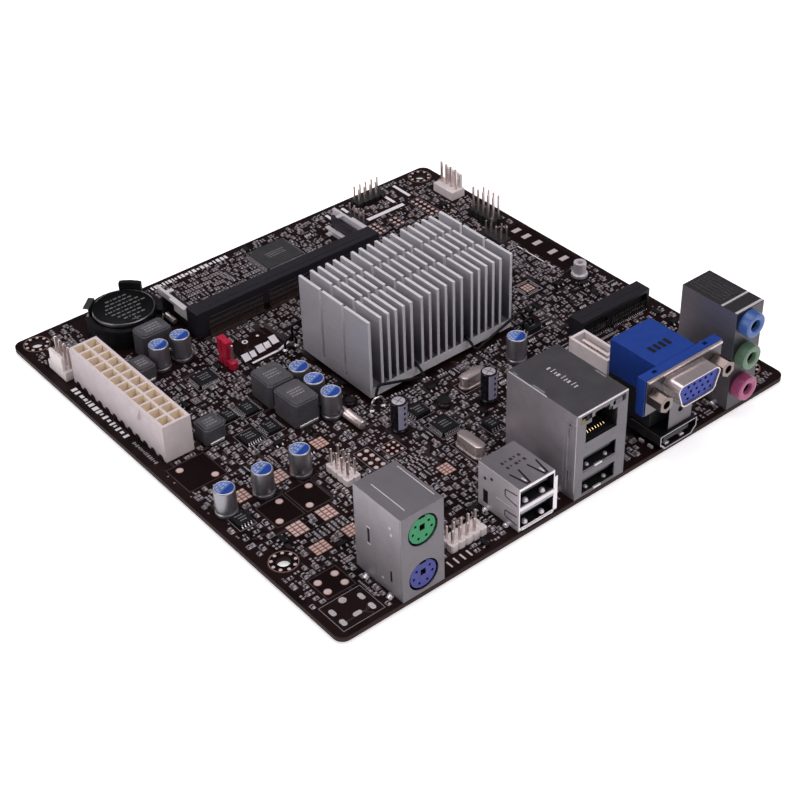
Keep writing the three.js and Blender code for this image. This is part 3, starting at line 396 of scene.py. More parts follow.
def tube_faces(count, levels, closed=False):
    """The faces round rings of count points, with an end cap at each end unless closed."""
    faces = []
    for level in range(levels if closed else levels - 1):
        a, b = level * count, ((level + 1) % levels) * count
        for i in range(count):
            j = (i + 1) % count
            faces.append((a + i, a + j, b + j, b + i))
    if not closed:
        faces.append(tuple(range(count))[::-1])
        faces.append(tuple((levels - 1) * count + i for i in range(count)))
    return faces


class Solids:
    """Gathers closed solids, in board millimetres, that become one object."""

    def __init__(self):
        self.points, self.faces, self.slots = [], [], []

    def add(self, points, faces, slot):
        start = len(self.points)
        self.points += points
        self.faces += [tuple(start + i for i in face) for face in faces]
        self.slots += [slot] * len(faces)

    def layers(self, rings, slot=0, axis="z", closed=False):
        """Joins outlines of equal length, each given as (outline, height along the axis)."""
        points = [AXES[axis](u, v, w) for outline, w in rings for u, v in outline]
        self.add(points, tube_faces(len(rings[0][0]), len(rings), closed), slot)

    def prism(self, outline, along, slot=0, axis="z", edge=0.0):
        """An extruded outline. With an edge its far end narrows a little, like a moulded lip."""
        low, high = along
        if not edge:
            self.layers([(outline, low), (outline, high)], slot, axis)
            return
        us, vs = zip(*outline)
        cu, cv = (min(us) + max(us)) / 2, (min(vs) + max(vs)) / 2
        fu = 1 - 2 * edge / (max(us) - min(us))
        fv = 1 - 2 * edge / (max(vs) - min(vs))
        small = [(cu + (u - cu) * fu, cv + (v - cv) * fv) for u, v in outline]
        self.layers([(outline, low), (outline, high - edge), (small, high)], slot, axis)

    def box(self, x, y, z, slot=0, edge=0.0):
        self.prism(rectangle(x, y), z, slot, "z", edge)

    def boxes(self, *rows):
        for row in rows:
            self.box(*row)

    def frame(self, x, y, z, width, slot=0):
        """Four thin bars round a rectangle, as printed outlines are drawn."""
        (x0, x1), (y0, y1) = x, y
        inner = (y0 + width, y1 - width)
        self.boxes((x, (y0, y0 + width), z, slot), (x, (y1 - width, y1), z, slot),
                   ((x0, x0 + width), inner, z, slot), ((x1 - width, x1), inner, z, slot))

    def rod(self, centre, radius, along, slot=0, axis="z", sides=20):
        outline = ring(*centre, radius, sides)
        self.layers([(outline, along[0]), (outline, along[1])], slot, axis)

    def lathe(self, centre, profile, slot=0, axis="z", sides=40, closed=False):
        """Turns a profile of (radius, height) about the axis through centre."""
        rings = [(ring(*centre, max(r, 0.001), sides), w) for r, w in profile]
        self.layers(rings, slot, axis, closed)

    def tube(self, path, radius, slot=0, sides=12):
        """A round wire along a path of points."""
        points = [Vector(p) for p in path]
        flat, up = [], Vector((0.13, 0.21, 0.97))
        for i, point in enumerate(points):
            ahead = points[min(i + 1, len(points) - 1)] - points[max(i - 1, 0)]
            ahead.normalize()
            side = up.cross(ahead).normalized()
            up = ahead.cross(side).normalized()
            for t in (2 * math.pi * k / sides for k in range(sides)):
                u, v = radius * math.cos(t), radius * math.sin(t)
                flat.append(tuple(point + side * u + up * v))
        self.add(flat, tube_faces(sides, len(points)), slot)

    def mesh(self, name):
        mesh = bpy.data.meshes.new(name)
        mesh.from_pydata([place(*p) for p in self.points], [], self.faces)
        for polygon, index in zip(mesh.polygons, self.slots):
            polygon.material_index = index
        return mesh

    def make(self, name, *materials, **options):
        return as_piece(name, self.mesh(name), materials, **options)


def reworked(mesh, change):
    """Lets a function change the mesh through bmesh."""
    work = bmesh.new()
    work.from_mesh(mesh)
    change(work)
    work.to_mesh(mesh)
    work.free()
    return mesh


def outward(mesh):
    """Turns every face of a mesh to look outwards."""
    return reworked(mesh, lambda work: bmesh.ops.recalc_face_normals(work, faces=work.faces))


def as_piece(name, mesh, materials, body="board", replaces=(), bevel=0.0, sharp=40):
    """Makes a visible piece of a mesh that is already in the row frame."""
    for material in materials:
        mesh.materials.append(MATERIALS[material])

    def smoothed(work):
        for face in work.faces:
            face.smooth = True
        for edge in work.edges:
            folded = len(edge.link_faces) != 2 or edge.calc_face_angle(0.0) >= math.radians(sharp)
            edge.smooth = not folded

    piece = bpy.data.objects.new(name, reworked(outward(mesh), smoothed))
    bpy.context.scene.collection.objects.link(piece)
    if bevel:
        rounding = piece.modifiers.new("rounded_edges", "BEVEL")
        rounding.width, rounding.segments = bevel * MM, 2
        rounding.limit_method, rounding.angle_limit = "ANGLE", math.radians(38)
        rounding.harden_normals = True
    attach(piece, body)
    if replaces:
        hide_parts(*replaces)
    return piece


def carved(mesh, tools):
    """The mesh with the tools' solids cut out of it."""
    pieces = [bpy.data.objects.new("carving", data) for data in (mesh, tools)]
    for piece in pieces:
        bpy.context.scene.collection.objects.link(piece)
    cut = pieces[0].modifiers.new("cut", "BOOLEAN")
    cut.object, cut.operation, cut.solver = pieces[1], "DIFFERENCE", "EXACT"
    cut.use_self = True
    bpy.context.view_layer.update()
    seen = pieces[0].evaluated_get(bpy.context.evaluated_depsgraph_get())
    result = bpy.data.meshes.new_from_object(seen)
    for piece in pieces:
        bpy.data.objects.remove(piece)
    return result


def refined(node, *materials, bevel=0.1, chosen=None, cut=None, body="board", sharp=30):
    """A CAD node's own shape with its flat faces made whole, its edges rounded and a finish.
    chosen picks a face's material from its centre, in board mm, and its normal."""
    def flattened(work):
        bmesh.ops.remove_doubles(work, verts=work.verts, dist=1e-7)
        bmesh.ops.dissolve_limit(work, angle_limit=math.radians(0.6), verts=work.verts,
                                 edges=work.edges, delimit={"NORMAL"})

    def welded(work):
        bmesh.ops.remove_doubles(work, verts=work.verts, dist=2e-7)

    def sorted_faces(work):
        for face in work.faces:
            c = face.calc_center_median() / MM
            at = (c.x + BOARD_SIDE / 2, c.y + BOARD_SIDE / 2, c.z - BOARD_THICKNESS)
            face.material_index = chosen(at, face.normal) if chosen else 0

    mesh = reworked(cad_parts[node].data.copy(), flattened)
    if cut:
        mesh = reworked(carved(outward(mesh), outward(cut.mesh("cutter"))), welded)
    mesh.materials.clear()
    return as_piece(node + "_shape", reworked(mesh, sorted_faces), materials, body, [node], bevel,
                    sharp)


def eased(path, radius):
    """The path with each corner turned into a small smooth bend."""
    points = [Vector(p) for p in path]
    bent = [points[0]]
    for before, corner, after in zip(points, points[1:], points[2:]):
        a, b = [corner + (other - corner).normalized() * min(radius, (other - corner).length * 0.45)
                for other in (before, after)]
        for t in (i / 5 for i in range(6)):
            bent.append(a * (1 - t) ** 2 + corner * (2 * t * (1 - t)) + b * t ** 2)
    return bent + [points[-1]]


make_camera()


# ------------------------------------------------------------------------ bare board

def board_face(at, normal):
    """The joints under the board are solder, and its cut edges bare laminate."""
    if at[2] < -BOARD_THICKNESS - 0.05:
        return 2
    return 1 if abs(normal.z) < 0.5 else 0


refined("circuit_board", "lacquer", "core", "solder", bevel=0.0, chosen=board_face)


# ------------------------------------------------------------------ processor and cooler

def cooler():
    refined("soc_package", "chip", bevel=0.08)
    x_range, (y0, y1), (bottom, top) = span("heatsink")

    # Tops and fin ends above the base take the lighter copy of the metal as painted light, the
    # outer side walls the darker copy as painted shade.
    def heatsink_face(at, normal):
        if (normal.z > 0.9 and at[2] > top - 0.1) or (abs(normal.y) > 0.9 and at[2] > bottom + 4):
            return 1
        x0, x1 = inside(x_range, 0.4)
        return 2 if normal.x < -0.9 and at[0] < x0 or normal.x > 0.9 and at[0] > x1 else 0

    refined("heatsink", "heatsink", "heatsink_painted_light_faces", "heatsink_painted_shade_walls", bevel=0.09,
            chosen=heatsink_face)
    base, rise = 3.2, 0.55     # the base's thickness, and how high the wires lie over it
    on_base = bottom + base + rise
    for name, side in SIDES:
        eyes = []
        for end in ("front", "rear"):
            anchor = "clip_anchor_%s_%s" % (name, end)
            ax, ay, (_, high) = span(anchor)
            x, y, half, high = mid(ax), mid(ay), (ax[1] - ax[0]) / 2 - 0.4, high - 0.4
            eyes.append((x, y))
            staple = Solids()
            staple.tube(eased([(x - half, y, 0), (x - half, y, high - 1.1), (x - 1, y, high),
                               (x + 1, y, high), (x + half, y, high - 1.1), (x + half, y, 0)], 1.0),
                        0.4, sides=14)
            for foot in about(x, half):
                staple.lathe((foot, y), [(0.9, 0.0), (0.75, 0.25), (0.45, 0.5), (0, 0.52)], 1)
            finish = "tinned" if anchor == "clip_anchor_left_front" else "spring_wire"
            staple.make(anchor + "_wire", finish, "solder", replaces=[anchor])
        (fx, fy), (rx, ry) = eyes
        lane = mid(x_range) + side * 10.2
        clip = Solids()
        clip.tube(eased([
            (fx, fy - 1.7, 2.6), (fx, fy + 1.0, 2.9), (fx - side * 1.8, fy + 1.7, 6.6),
            (lane, y0 - 3.8, on_base - 2.4), (lane, y0 + 0.3, on_base + 0.2),
            (lane, y1 - 0.3, on_base + 0.1), (lane, y1 + 2.6, on_base + 1.2),
            (rx - side * 3.6, ry - 1.7, 9.6), (rx, ry - 1.4, 9.4), (rx, ry - 1.2, 2.9),
            (rx, ry + 1.7, 2.6)], 1.4), 0.45, sides=14)
        clip.make("heatsink_clip_%s_wire" % name, "spring_wire",
                  replaces=["heatsink_clip_" + name], sharp=60)


# --------------------------------------------------------------- power and memory sockets

def atx():
    (_, x1), y_range, (_, top) = span("atx_power_socket")
    x0, pitch, rows = x1 - 9.6, 4.2, 12
    middles = [mid(y_range) + (row - (rows - 1) / 2) * pitch for row in range(rows)]

    # Faces inside the pockets take a lighter ivory, painted light where shade would fall, and the
    # left faces a darker ivory, painted shade.
    def face(at, normal):
        (u0, u1), (v0, v1) = inside((x0, x1), 0.2), inside(y_range, 0.2)
        if u0 < at[0] < u1 and v0 < at[1] < v1 and 1 < at[2] < top - 0.06:
            return 1
        return 2 if normal.x < -0.7 else 0

    seams, scallop_shade, pins = Solids(), Solids(), Solids()
    for y in middles[1:]:
        seams.box((x0 - 0.2, x0 + 0.08), about(y - pitch / 2, 0.1), (-1, 1.1))
    refined("atx_power_socket", "ivory", "ivory_painted_glow_inside", "ivory_painted_shade_side", bevel=0.14, chosen=face,
            cut=seams)
    # Black half discs at the foot of the left face, painted shade in its arches.
    for y in middles:
        scallop_shade.prism(arc(y, 0.0, 1.45, 0, 180, 12), (x0 - 0.03, x0 + 0.15), 0, "x")
    scallop_shade.make("atx_power_scallop_shade", "gap")
    for x in about(x1 - 4.8, pitch / 2):
        for y in middles:
            pins.box(about(x, 0.5), about(y, 0.5), (2.9, 6.2), edge=0.3)
    pins.make("atx_power_pins", "tinned")


def sodimm():
    (x0, x1), (front, _), _ = span("sodimm_socket")
    back, key, top = front + 6, 73, 9.2
    recess, pins = Solids(), Solids()
    for x in ((x0 + 6, key - 1.2), (key + 1.2, x1 - 6)):
        recess.box(x, (front + 1.9, front + 2.4), (top - 0.25, top + 1))
    for i in range(3):
        z = 2.9 + i * 1.7
        for x in ((x0 + 5, key - 1.4), (key + 1.4, x1 - 5)):
            recess.box(x, (front - 1, front + 0.22), (z, z + 0.7))
    refined("sodimm_socket", "slot", bevel=0.12, cut=recess)
    x = x0 + 4.6
    while x < x1 - 4.4:
        if abs(x - key) > 1.2:
            thin = about(x, 0.11)
            pins.box(thin, (front - 0.9, front + 1.3), (0, 0.22))
            for z in ((0.3, 1.7), (2.3, 3.5), (4.1, 5.2)):
                pins.box(about(x, 0.12), (front - 0.06, front + 0.3), z, 1)
            pins.box(thin, (front + 3.3, back - 0.6), (6.05, 6.45))
            pins.box(thin, (back - 0.2, back + 1.0), (0, 0.22))
        x += 0.6
    pins.make("sodimm_contacts", "contact_brown", "contact_brown")
    for name, side in SIDES:
        refined("sodimm_latch_" + name, "spring", bevel=0.06, body="sodimm_latch_" + name)
        strip, middle = Solids(), (x0 + x1) / 2
        inner, wide = beside(middle, side, 31.3, 32.6), beside(middle, side, 31.3, 35.0)
        strip.boxes((inner, (back + 0.4, back + 17.5), (2.6, 3.0)),
                    (wide, (back + 0.4, back + 4.6), (2.6, 3.0)),
                    (wide, (back + 15.2, back + 17.4), (0.0, 0.3)),
                    (beside(middle, side, 32.6, 32.9), (back + 1, back + 17.5), (0.0, 3.0)))
        strip.make("sodimm_hold_down_" + name, "spring", bevel=0.05)


# ---------------------------------------------------------------------------- coin cell

def battery():
    x_range, y_range, (bottom, top) = span("coin_cell")
    x, y, ink = mid(x_range), mid(y_range), (top - 0.1, top - 0.06)
    cell, joints = Solids(), Solids()
    cell.lathe((x, y), [(0, bottom), (8.6, bottom), (9.0, bottom + 0.4), (9.85, bottom + 0.7),
                        (10, bottom + 0.9), (10, top - 0.4), (9.9, top - 0.15), (9.65, top),
                        (9.5, top - 0.3), (0, top - 0.3)], 1, sides=72)
    cell.lathe((x, y), [(9.55, top - 0.35), (9.58, top - 0.02), (9.0, top - 0.02),
                        (8.75, top - 0.09), (0, top - 0.09)], 0, sides=72)
    for level in range(-3, 4):
        wide = 6.6 - abs(level) * 1.1
        start = -wide
        while start < wide:
            length = 0.5 + 0.45 * ((level * 7 + int(start * 5)) % 3)
            cell.box((x + start, x + start + length), about(y + level * 1.9, 0.3), ink, 2)
            start += length + 0.5
    # A plus sign.
    cell.box(about(x, 1.5), (y - 8.0, y - 7.6), ink, 2)
    cell.box(about(x, 0.2), (y - 8.8, y - 6.6), ink, 2)
    cell.make("coin_cell_shape", "cell", "cell_rim", "cell_mark", body="coin_cell",
              replaces=["coin_cell"])
    refined("battery_holder", "holder", bevel=0.16)
    refined("battery_contact", "spring_dark", bevel=0.07, body="battery_contact")
    for foot in about(x, 8):
        joints.lathe((foot, y), [(0.9, 0.0), (0.7, 0.3), (0, 0.4)])
    joints.make("battery_solder", "solder")


cooler()
atx()
sodimm()
battery()


# ------------------------------------------------------------------------- rear sockets

def blob(solids, x, y, size):
    """A small dome of solder on the board."""
    solids.lathe((x, y), [(size, 0.0), (size * 0.85, size * 0.4), (size * 0.45, size * 0.72),
                          (0, size * 0.8)], 0, sides=16)


def solder_feet(name, x_range, out, ys, size):
    """Domes of solder a little outside both side walls of a socket."""
    feet = Solids()
    for x in inside(x_range, -out):
        for y in ys:
            blob(feet, x, y, size)
    feet.make(name + "_solder_feet", "solder")


def ps2():
    x_range, _, (_, top) = span("ps2_shell")
    x0, x1 = x_range
    cut, marks, feet = Solids(), Solids(), Solids()
    for wall in x_range:
        cut.boxes((about(wall, 0.3), (13.2, 14.1), (11.4, 17.6)),
                  (about(wall, 0.3), (4.3, 5.1), (4.0, 8.0)),
                  (about(wall, 0.07), (10.9, 11.02), (0.5, top - 0.3)))
    cut.box((x0 - 1, x0 + 0.08), (0.42, 0.5), (0.5, top - 0.4))

    # The inner faces of the side windows are black, painted shade; front faces take a darker
    # nickel, painted shade, and top faces a lighter nickel, painted light.
    def shell_face(at, normal):
        deep = abs(abs(at[0] - mid(x_range)) - (x1 - x0) / 2 + 0.3) < 0.04
        if deep and abs(normal.x) > 0.9 and at[1] < 15:
            return 1
        if normal.y < -0.5 and at[1] < 1:
            return 2
        return 3 if normal.z > 0.7 and at[2] > top - 0.3 else 0

    refined("ps2_shell", "nickel", "black", "nickel_painted_shade_front", "nickel_painted_shading_on_tops", bevel=0.12,
            chosen=shell_face, cut=cut)
    # Black fills in the side windows are painted shade; the bright bars, dots and window edges
    # below are painted highlights.
    for (_, side), wall_x in zip(SIDES, x_range):
        wall = beside(wall_x, side, 0.02, -0.2)
        marks.boxes((wall, (13.25, 14.05), (12.0, 17.0), 1), (wall, (4.35, 5.05), (4.4, 7.6), 1))
    for x, y in ((x0 + 3.4, (2.7, 16.1)), (x1 - 1.0, (2.5, 17.2))):
        marks.box(about(x, 0.14), y, about(top, 0.1), 0, edge=0.08)
    for spot in ((4.6, 22.9), (4.1, 20.8), (8.2, 3.4)):
        marks.rod(spot, 0.42, (x0 - 0.09, x0 + 0.05), 0, "x", 16)
    for z in (11.6, 17.2):
        marks.box((x0 - 0.12, x0 + 0.1), (12.9, 14.2), about(z, 0.2), 0, edge=0.05)
    marks.make("ps2_embossing_highlights_and_window_shade", "nickel_bright", "gap", bevel=0.02)
    for x in inside(x_range, -0.9):
        for y in (14.2, 4.2):
            feet.box((x - 0.1, x + 0.45), about(y, 0.7), (0, 0.9), 1, 0.1)
            blob(feet, x, y, 1.0)
    feet.make("ps2_solder_feet", "solder", "nickel")
    for port, colour, z in (("keyboard", "purple", 5.9), ("mouse", "green", 21.3)):
        # The faces inside the socket's holes are black, painted shade.
        def face(at, normal):
            deep = 0.5 < at[1] < 5.3
            return 1 if deep and math.hypot(at[0] - 27.6, at[2] - z) < 3.75 else 0

        refined("ps2_%s_port" % port, colour, "black", bevel=0.07, chosen=face)


def tongue_contacts(name, x_range, tops, front):
    """Four flat contacts on the underside of each USB tongue, whose tops are given."""
    contacts = Solids()
    for top in tops:
        for i in range(4):
            x = mid(x_range) + (i - 1.5) * 2.3
            contacts.box(about(x, 0.55), (front + 3.4, front + 7), (top - 1.98, top - 1.75))
    contacts.make(name, "gold")


def spring_outline(middle, wide, narrow, tip, root, gap):
    """The slit round a V-shaped spring tongue, as one outline of (across, along)."""
    half = gap / 2
    outer = [(middle - wide - half, root), (middle - narrow - half, tip - half),
             (middle + narrow + half, tip - half), (middle + wide + half, root)]
    inner = [(middle + wide - half, root), (middle + narrow - half, tip + half),
             (middle - narrow + half, tip + half), (middle - wide + half, root)]
    return outer + inner


def usb():
    x_range, (y0, y1), (_, top) = span("usb_shell")
    x0, x1 = x_range

    # Faces inside the shell are black, painted shade; top faces take a darker nickel than the
    # bright shell, painted shade.
    def shell_face(at, normal):
        if x0 + 0.3 < at[0] < x1 - 0.3 and y0 + 0.1 < at[1] < y1 - 0.2 and at[2] < top - 0.2:
            return 2
        return 1 if normal.z > 0.7 else 0

    refined("usb_shell", "nickel_bright", "nickel_painted_shading_on_tops", "gap", bevel=0.11, chosen=shell_face)
    # The spring slits and the window in each side wall are black inlays, painted shade.
    slit_shade, extra = Solids(), Solids()
    for x in (x0 + 3.9, x1 - 2.7):
        slit_shade.prism(spring_outline(x, 1.6, 0.5, y0 + 0.75, y0 + 6.6, 0.55), (top - 0.2, top + 0.02))
        # A bright bump on each spring tongue, a painted highlight.
        extra.box(about(x, 0.25), (y0 + 1.6, y0 + 3.4), (top - 0.05, top + 0.1), 1, 0.08)
    for (_, side), wall_x in zip(SIDES, x_range):
        wall = beside(wall_x, side, 0.02, -0.2)
        for z, wide, narrow in ((3.5, 1.5, 1.0), (10.7, 1.9, 1.2)):
            outline = spring_outline(z, wide, narrow, y0 + 5.6, y0 + 0.8, 0.4)
            slit_shade.prism([(along, across) for across, along in outline], wall, 0, "x")
        slit_shade.box(wall, (13.0, 14.9), (2.0, 6.5))
    slit_shade.make("usb_shell_slit_shade", "gap")
    for i, wide in enumerate((0.8, 0.5, 1.0, 0.6, 0.9)):
        for j in range(2):
            x, y, tall = x0 + 3.4 + i * 1.5, 8.8 + j * 2.3 + 0.3 * (i % 2), 1.1 - 0.3 * (i % 2)
            extra.box((x, x + wide), (y, y + tall), (top - 0.05, top + 0.04), 3, 0.03)
    extra.box((x0 - 0.1, x0 + 0.05), (4.1, 9.6), (6.5, 6.85), 1, 0.05)
    for spot in ((14.2, 10.6), (11.5, 11.8)):
        extra.rod(spot, 0.5, (x0 - 0.1, x0 + 0.05), 3, "x", 18)
    lip_x, lip_y = inside(x_range, 0.4), (y0 - 0.25, y0 + 0.5)
    extra.boxes(((x1 - 0.1, x1 + 1.1), (y0 + 0.02, y0 + 0.34), (0.7, 12.4), 1, 0.05),
                (lip_x, lip_y, (8.5, 8.85), 0, 0.05), (lip_x, lip_y, (6.55, 6.9), 0, 0.05),
                (inside(x_range, 0.8), about(y0, 0.4), (0.55, 0.95), 1, 0.05))
    for low in (1.3, 8.9):
        for x in (x0 + 3.2, x1 - 3.6):
            extra.lathe((x, y0 + 1.3), [(0.95, low - 0.1), (0.85, low + 0.5), (0.5, low + 0.9),
                                       (0, low + 1.0)], 1, sides=18)
    extra.box((x0 + 0.12, x0 + 0.3), (13.3, 14.6), (2.2, 6.3), 2)
    extra.make("usb_shell_details", "nickel", "nickel_bright", "copper", "nickel_dark", bevel=0.03)
    solder_feet("usb", x_range, 0.6, (5.0, 13.4), 0.95)
    tongue_contacts("usb_contacts", x_range, (6.0, 13.6), y0)
    refined("usb_insert", "black", bevel=0.08)


def lan():
    x_range, (y0, _), (_, top) = span("lan_usb_shell")
    x0, x1 = x_range
    cut, extra, lamps, wires = Solids(), Solids(), Solids(), Solids()
    for wall in x_range:
        for z in ((21.2, 25.7), (4.9, 8.8)):
            cut.box(about(wall, 1), (2.6, 3.1), z)
        cut.box(about(wall, 0.12), (4.6, 4.85), (0.5, top - 0.4))
    for z in (8.15, 16.9):
        cut.box((x0 + 3.0, x1 - 3.9), (y0 - 1, y0 + 0.05), about(z, 0.05))

    # Front faces and top faces take darker copies of the nickel, painted shade.
    def shell_face(at, normal):
        return 1 if normal.y < -0.5 and at[1] < 1 else 2 if normal.z > 0.7 else 0

    refined("lan_usb_shell", "nickel", "nickel_painted_shade_front", "nickel_painted_shade_top", bevel=0.13, cut=cut,
            chosen=shell_face)
    for spot in ((25.2, 27.3), (23.4, 26.9), (25.2, 3.0)):
        extra.rod(spot, 0.45, (x0 - 0.1, x0 + 0.05), 0, "x", 16)
    for (_, side), wall in zip(SIDES, x_range):
        for y, out in (((0.3, 2.1), 0.16), ((3.4, 4.3), 0.13)):
            extra.box(beside(wall, side, out, -0.02), y, (2.0, top - 3.2), 0, 0.05)
    emboss, front = (top - 0.05, top + 0.10), (y0 - 0.01, y0 + 0.4)
    # The three thin bright strips along the top front, top left and front left edges are painted
    # highlights.
    extra.boxes(((x0 + 0.5, x0 + 1.0), (13.8, 18.4), (top - 0.05, top + 0.12), 0, 0.05),
                ((x0 + 0.5, x0 + 0.9), (24.6, 26.2), emboss, 0, 0.05),
                ((x1 - 1.0, x1 - 0.5), (8.0, 12.0), emboss, 0, 0.05),
                (inside(x_range, 0.1), (y0 - 0.04, y0 + 0.3), (top - 0.28, top + 0.08), 1, 0.05),
                ((x0 - 0.05, x0 + 0.2), (12.0, 27.4), (top - 0.3, top + 0.06), 1, 0.05),
                ((x0 - 0.05, x0 + 0.16), (y0 + 0.2, y0 + 0.5), (3.0, top - 0.3), 1, 0.05))
    for z in (1.1, 9.2):
        extra.box((88.6, 91.4), about(y0, 0.3), (z - 0.35, z + 0.15), 1, 0.05)
        # A thin black line across the front, painted shade along a seam.
        extra.box((x0 + 2.9, x1 - 3.8), (y0 - 0.03, y0 + 0.3), (z - 0.55, z - 0.42), 3)
    # Plates beside the lamps take the darker front nickel, painted shade.
    for x, toward in ((84.6, 1), (96.8, -1)):
        extra.box(beside(x, toward, 0, 2.1), front, (25.3, 28.0), 2)
        extra.box(beside(x, toward, 0, 3.3), front, (26.7, 28.0), 2)
    strokes = ((1.4, 0.5), (2.0, 0.3), (1.3, 0.7), (1.3, 0.4), (2.0, 0.3), (1.3, 0.8), (1.2, 0.4),
               (1.9, 0.3), (1.3, 0.6))
    for i, (reach, wide) in enumerate(strokes):
        y = 10.0 + i * 1.35
        extra.box((89.9, 89.9 + reach), (y, y + wide), (top - 0.05, top + 0.04), 1, 0.03)
    for low, high in ((20.6, 24.8), (5.6, 9.8)):
        extra.box((x0 - 0.2, x0 + 0.02), (2.3, 3.1), (low, high), 0, 0.08)
        # A black line in each tab's window, painted shade.
        extra.box((x0 - 0.22, x0 + 0.02), (2.75, 2.95), (low + 0.4, high - 0.4), 3)
    for low in (1.1, 9.2):
        for x in (x0 + 5.8, x1 - 6.2):
            extra.lathe((x, y0 + 1.6), [(0.7, low - 0.1), (0.55, low + 0.4), (0, low + 0.6)], 1,
                        sides=16)
    extra.make("lan_usb_shell_details", "nickel", "nickel_bright", "nickel_painted_shade_front", "gap",
               bevel=0.03)
    # Beside each lens a black patch, painted shade.
    for x, out, z, slot, edge in (((82.5, 84.3), 0.03, (25.9, 27.5), 0, 0.1),
                                  ((84.8, 86.0), 0.04, (26.4, 28.1), 2, 0.05),
                                  ((95.6, 98.2), 0.03, (26.3, 28.2), 1, 0.1),
                                  ((98.5, 99.5), 0.04, (26.6, 28.6), 2, 0.05)):
        lamps.box(x, (y0 - out, y0 + 0.5), z, slot, edge)
    lamps.make("lan_lamp_lenses", "lamp_yellow", "lamp_grey", "gap", bevel=0.05)
    for i in range(8):
        x = 90.7 + (i - 3.5) * 1.02
        wires.tube([(x, 2.6, 19.1), (x, 3.2, 19.5)], 0.2, sides=8)
        # The part of each contact that runs deep into the jack is dark steel, painted shade.
        wires.tube(eased([(x, 3.2, 19.5), (x, 3.7, 19.7), (x, 9.0, 21.0), (x, 13.0, 21.4)], 0.5),
                   0.16, 1, 8)
    wires.make("lan_jack_contacts", "gold", "spring_dark")
    tongue_contacts("lan_usb_contacts", (84.2, 96.8), (5.6, 13.7), y0)
    refined("lan_jack_insert", "black", bevel=0.06)
    refined("lan_usb_insert", "black", bevel=0.08)
    solder_feet("lan", x_range, 0.6, (6.5, 22.0), 0.95)


def video():
    body_x, _, (z0, z1) = span("vga_body")
    middle, middle_z = mid(body_x), (z0 + z1) / 2
    cut, ribs, lip, pins, hdmi = Solids(), Solids(), Solids(), Solids(), Solids()
    for side in (1, -1):
        cut.box(beside(middle, side, 9.4, 11.0), (1.6, 2.7), (z1 - 1.6, z1 + 1))
    for side in (-1, 1):
        cut.box(beside(middle, side, 9.8, 12.6), (1.2, 6), (z0 - 1, z0 + 1.6))
    refined("vga_body", "blue", bevel=0.16, cut=cut)
    for side in (-1, 1):
        ribs.prism([(3.2, 16.6), (8.6, 16.6), (3.2, 27.4)], about(middle + side * 8.3, 0.5), 0, "x")
    # Four black patches on the body's top, painted shade.
    for i in range(4):
        x = middle - 3.9 + i * 2.1
        ribs.box((x, x + 1.2), (8.4, 11.2), (z1 - 0.05, z1 + 0.02), 1)
    ribs.make("vga_body_gussets", "blue", "gap", bevel=0.1)

    front_x, (front, plate_back), (_, plate_top) = span("vga_front_shell")
    # The plate takes the darker front nickel, painted shade.
    refined("vga_front_shell", "nickel_painted_shade_front", "collar", bevel=0.10,
            chosen=lambda at, normal: 1 if at[1] < front + 4.5 else 0)
    lip.box(inside(front_x, 0.2), (plate_back - 0.85, plate_back + 0.02),
            (plate_top - 0.6, plate_top + 0.12), 0, 0.06)
    lip.make("vga_front_lip", "collar", bevel=0.05)

    # Faces deep inside the socket's face are black, painted shade.
    def face(at, normal):
        inner = abs(at[0] - middle) < 6.6 and abs(at[2] - middle_z) < 2.8
        return 1 if inner and -5.2 < at[1] < -1.5 else 0

    refined("vga_socket_face", "blue_face", "black", bevel=0.06, chosen=face)
    for name, _ in SIDES:
        refined("vga_jackscrew_" + name, "bronze", bevel=0.14)
    for i in range(5):
        for row in range(3):
            pins.box(about(117.9 + i * 2.54, 0.25), about(9.5 + row * 3.4, 0.25), (15.3, 16.6))
    pins.make("vga_pins", "tinned")
    refined("video_base", "black", bevel=0.15)
    shell_x, (y0, _), (z0, _) = span("hdmi_shell")
    # All but the front faces take the dark nickel, painted shade.
    refined("hdmi_shell", "nickel", "nickel_dark", bevel=0.09,
            chosen=lambda at, normal: 0 if at[1] < y0 + 0.2 else 1)
    refined("hdmi_tongue", "black", bevel=0.06)
    for i in range(9):
        for z in ((3.55, 3.72), (2.08, 2.25)):
            hdmi.box(about(mid(shell_x) + i - 4, 0.2), (y0 + 1.2, y0 + 7), z)
    for away in (-3.6, 2.6):
        x = about(mid(shell_x) + away, 0.8)
        hdmi.box(x, (y0 + 0.9, y0 + 4.5), (z0 + 0.35, z0 + 0.95), 1, 0.2)
    for y in ((1.7, 3.5), (5.2, 7.0)):
        hdmi.box((shell_x[0] - 0.5, shell_x[0] + 0.2), y, (0, 0.9), 1, 0.1)
    hdmi.make("hdmi_contacts", "gold", "nickel_bright", bevel=0.03)


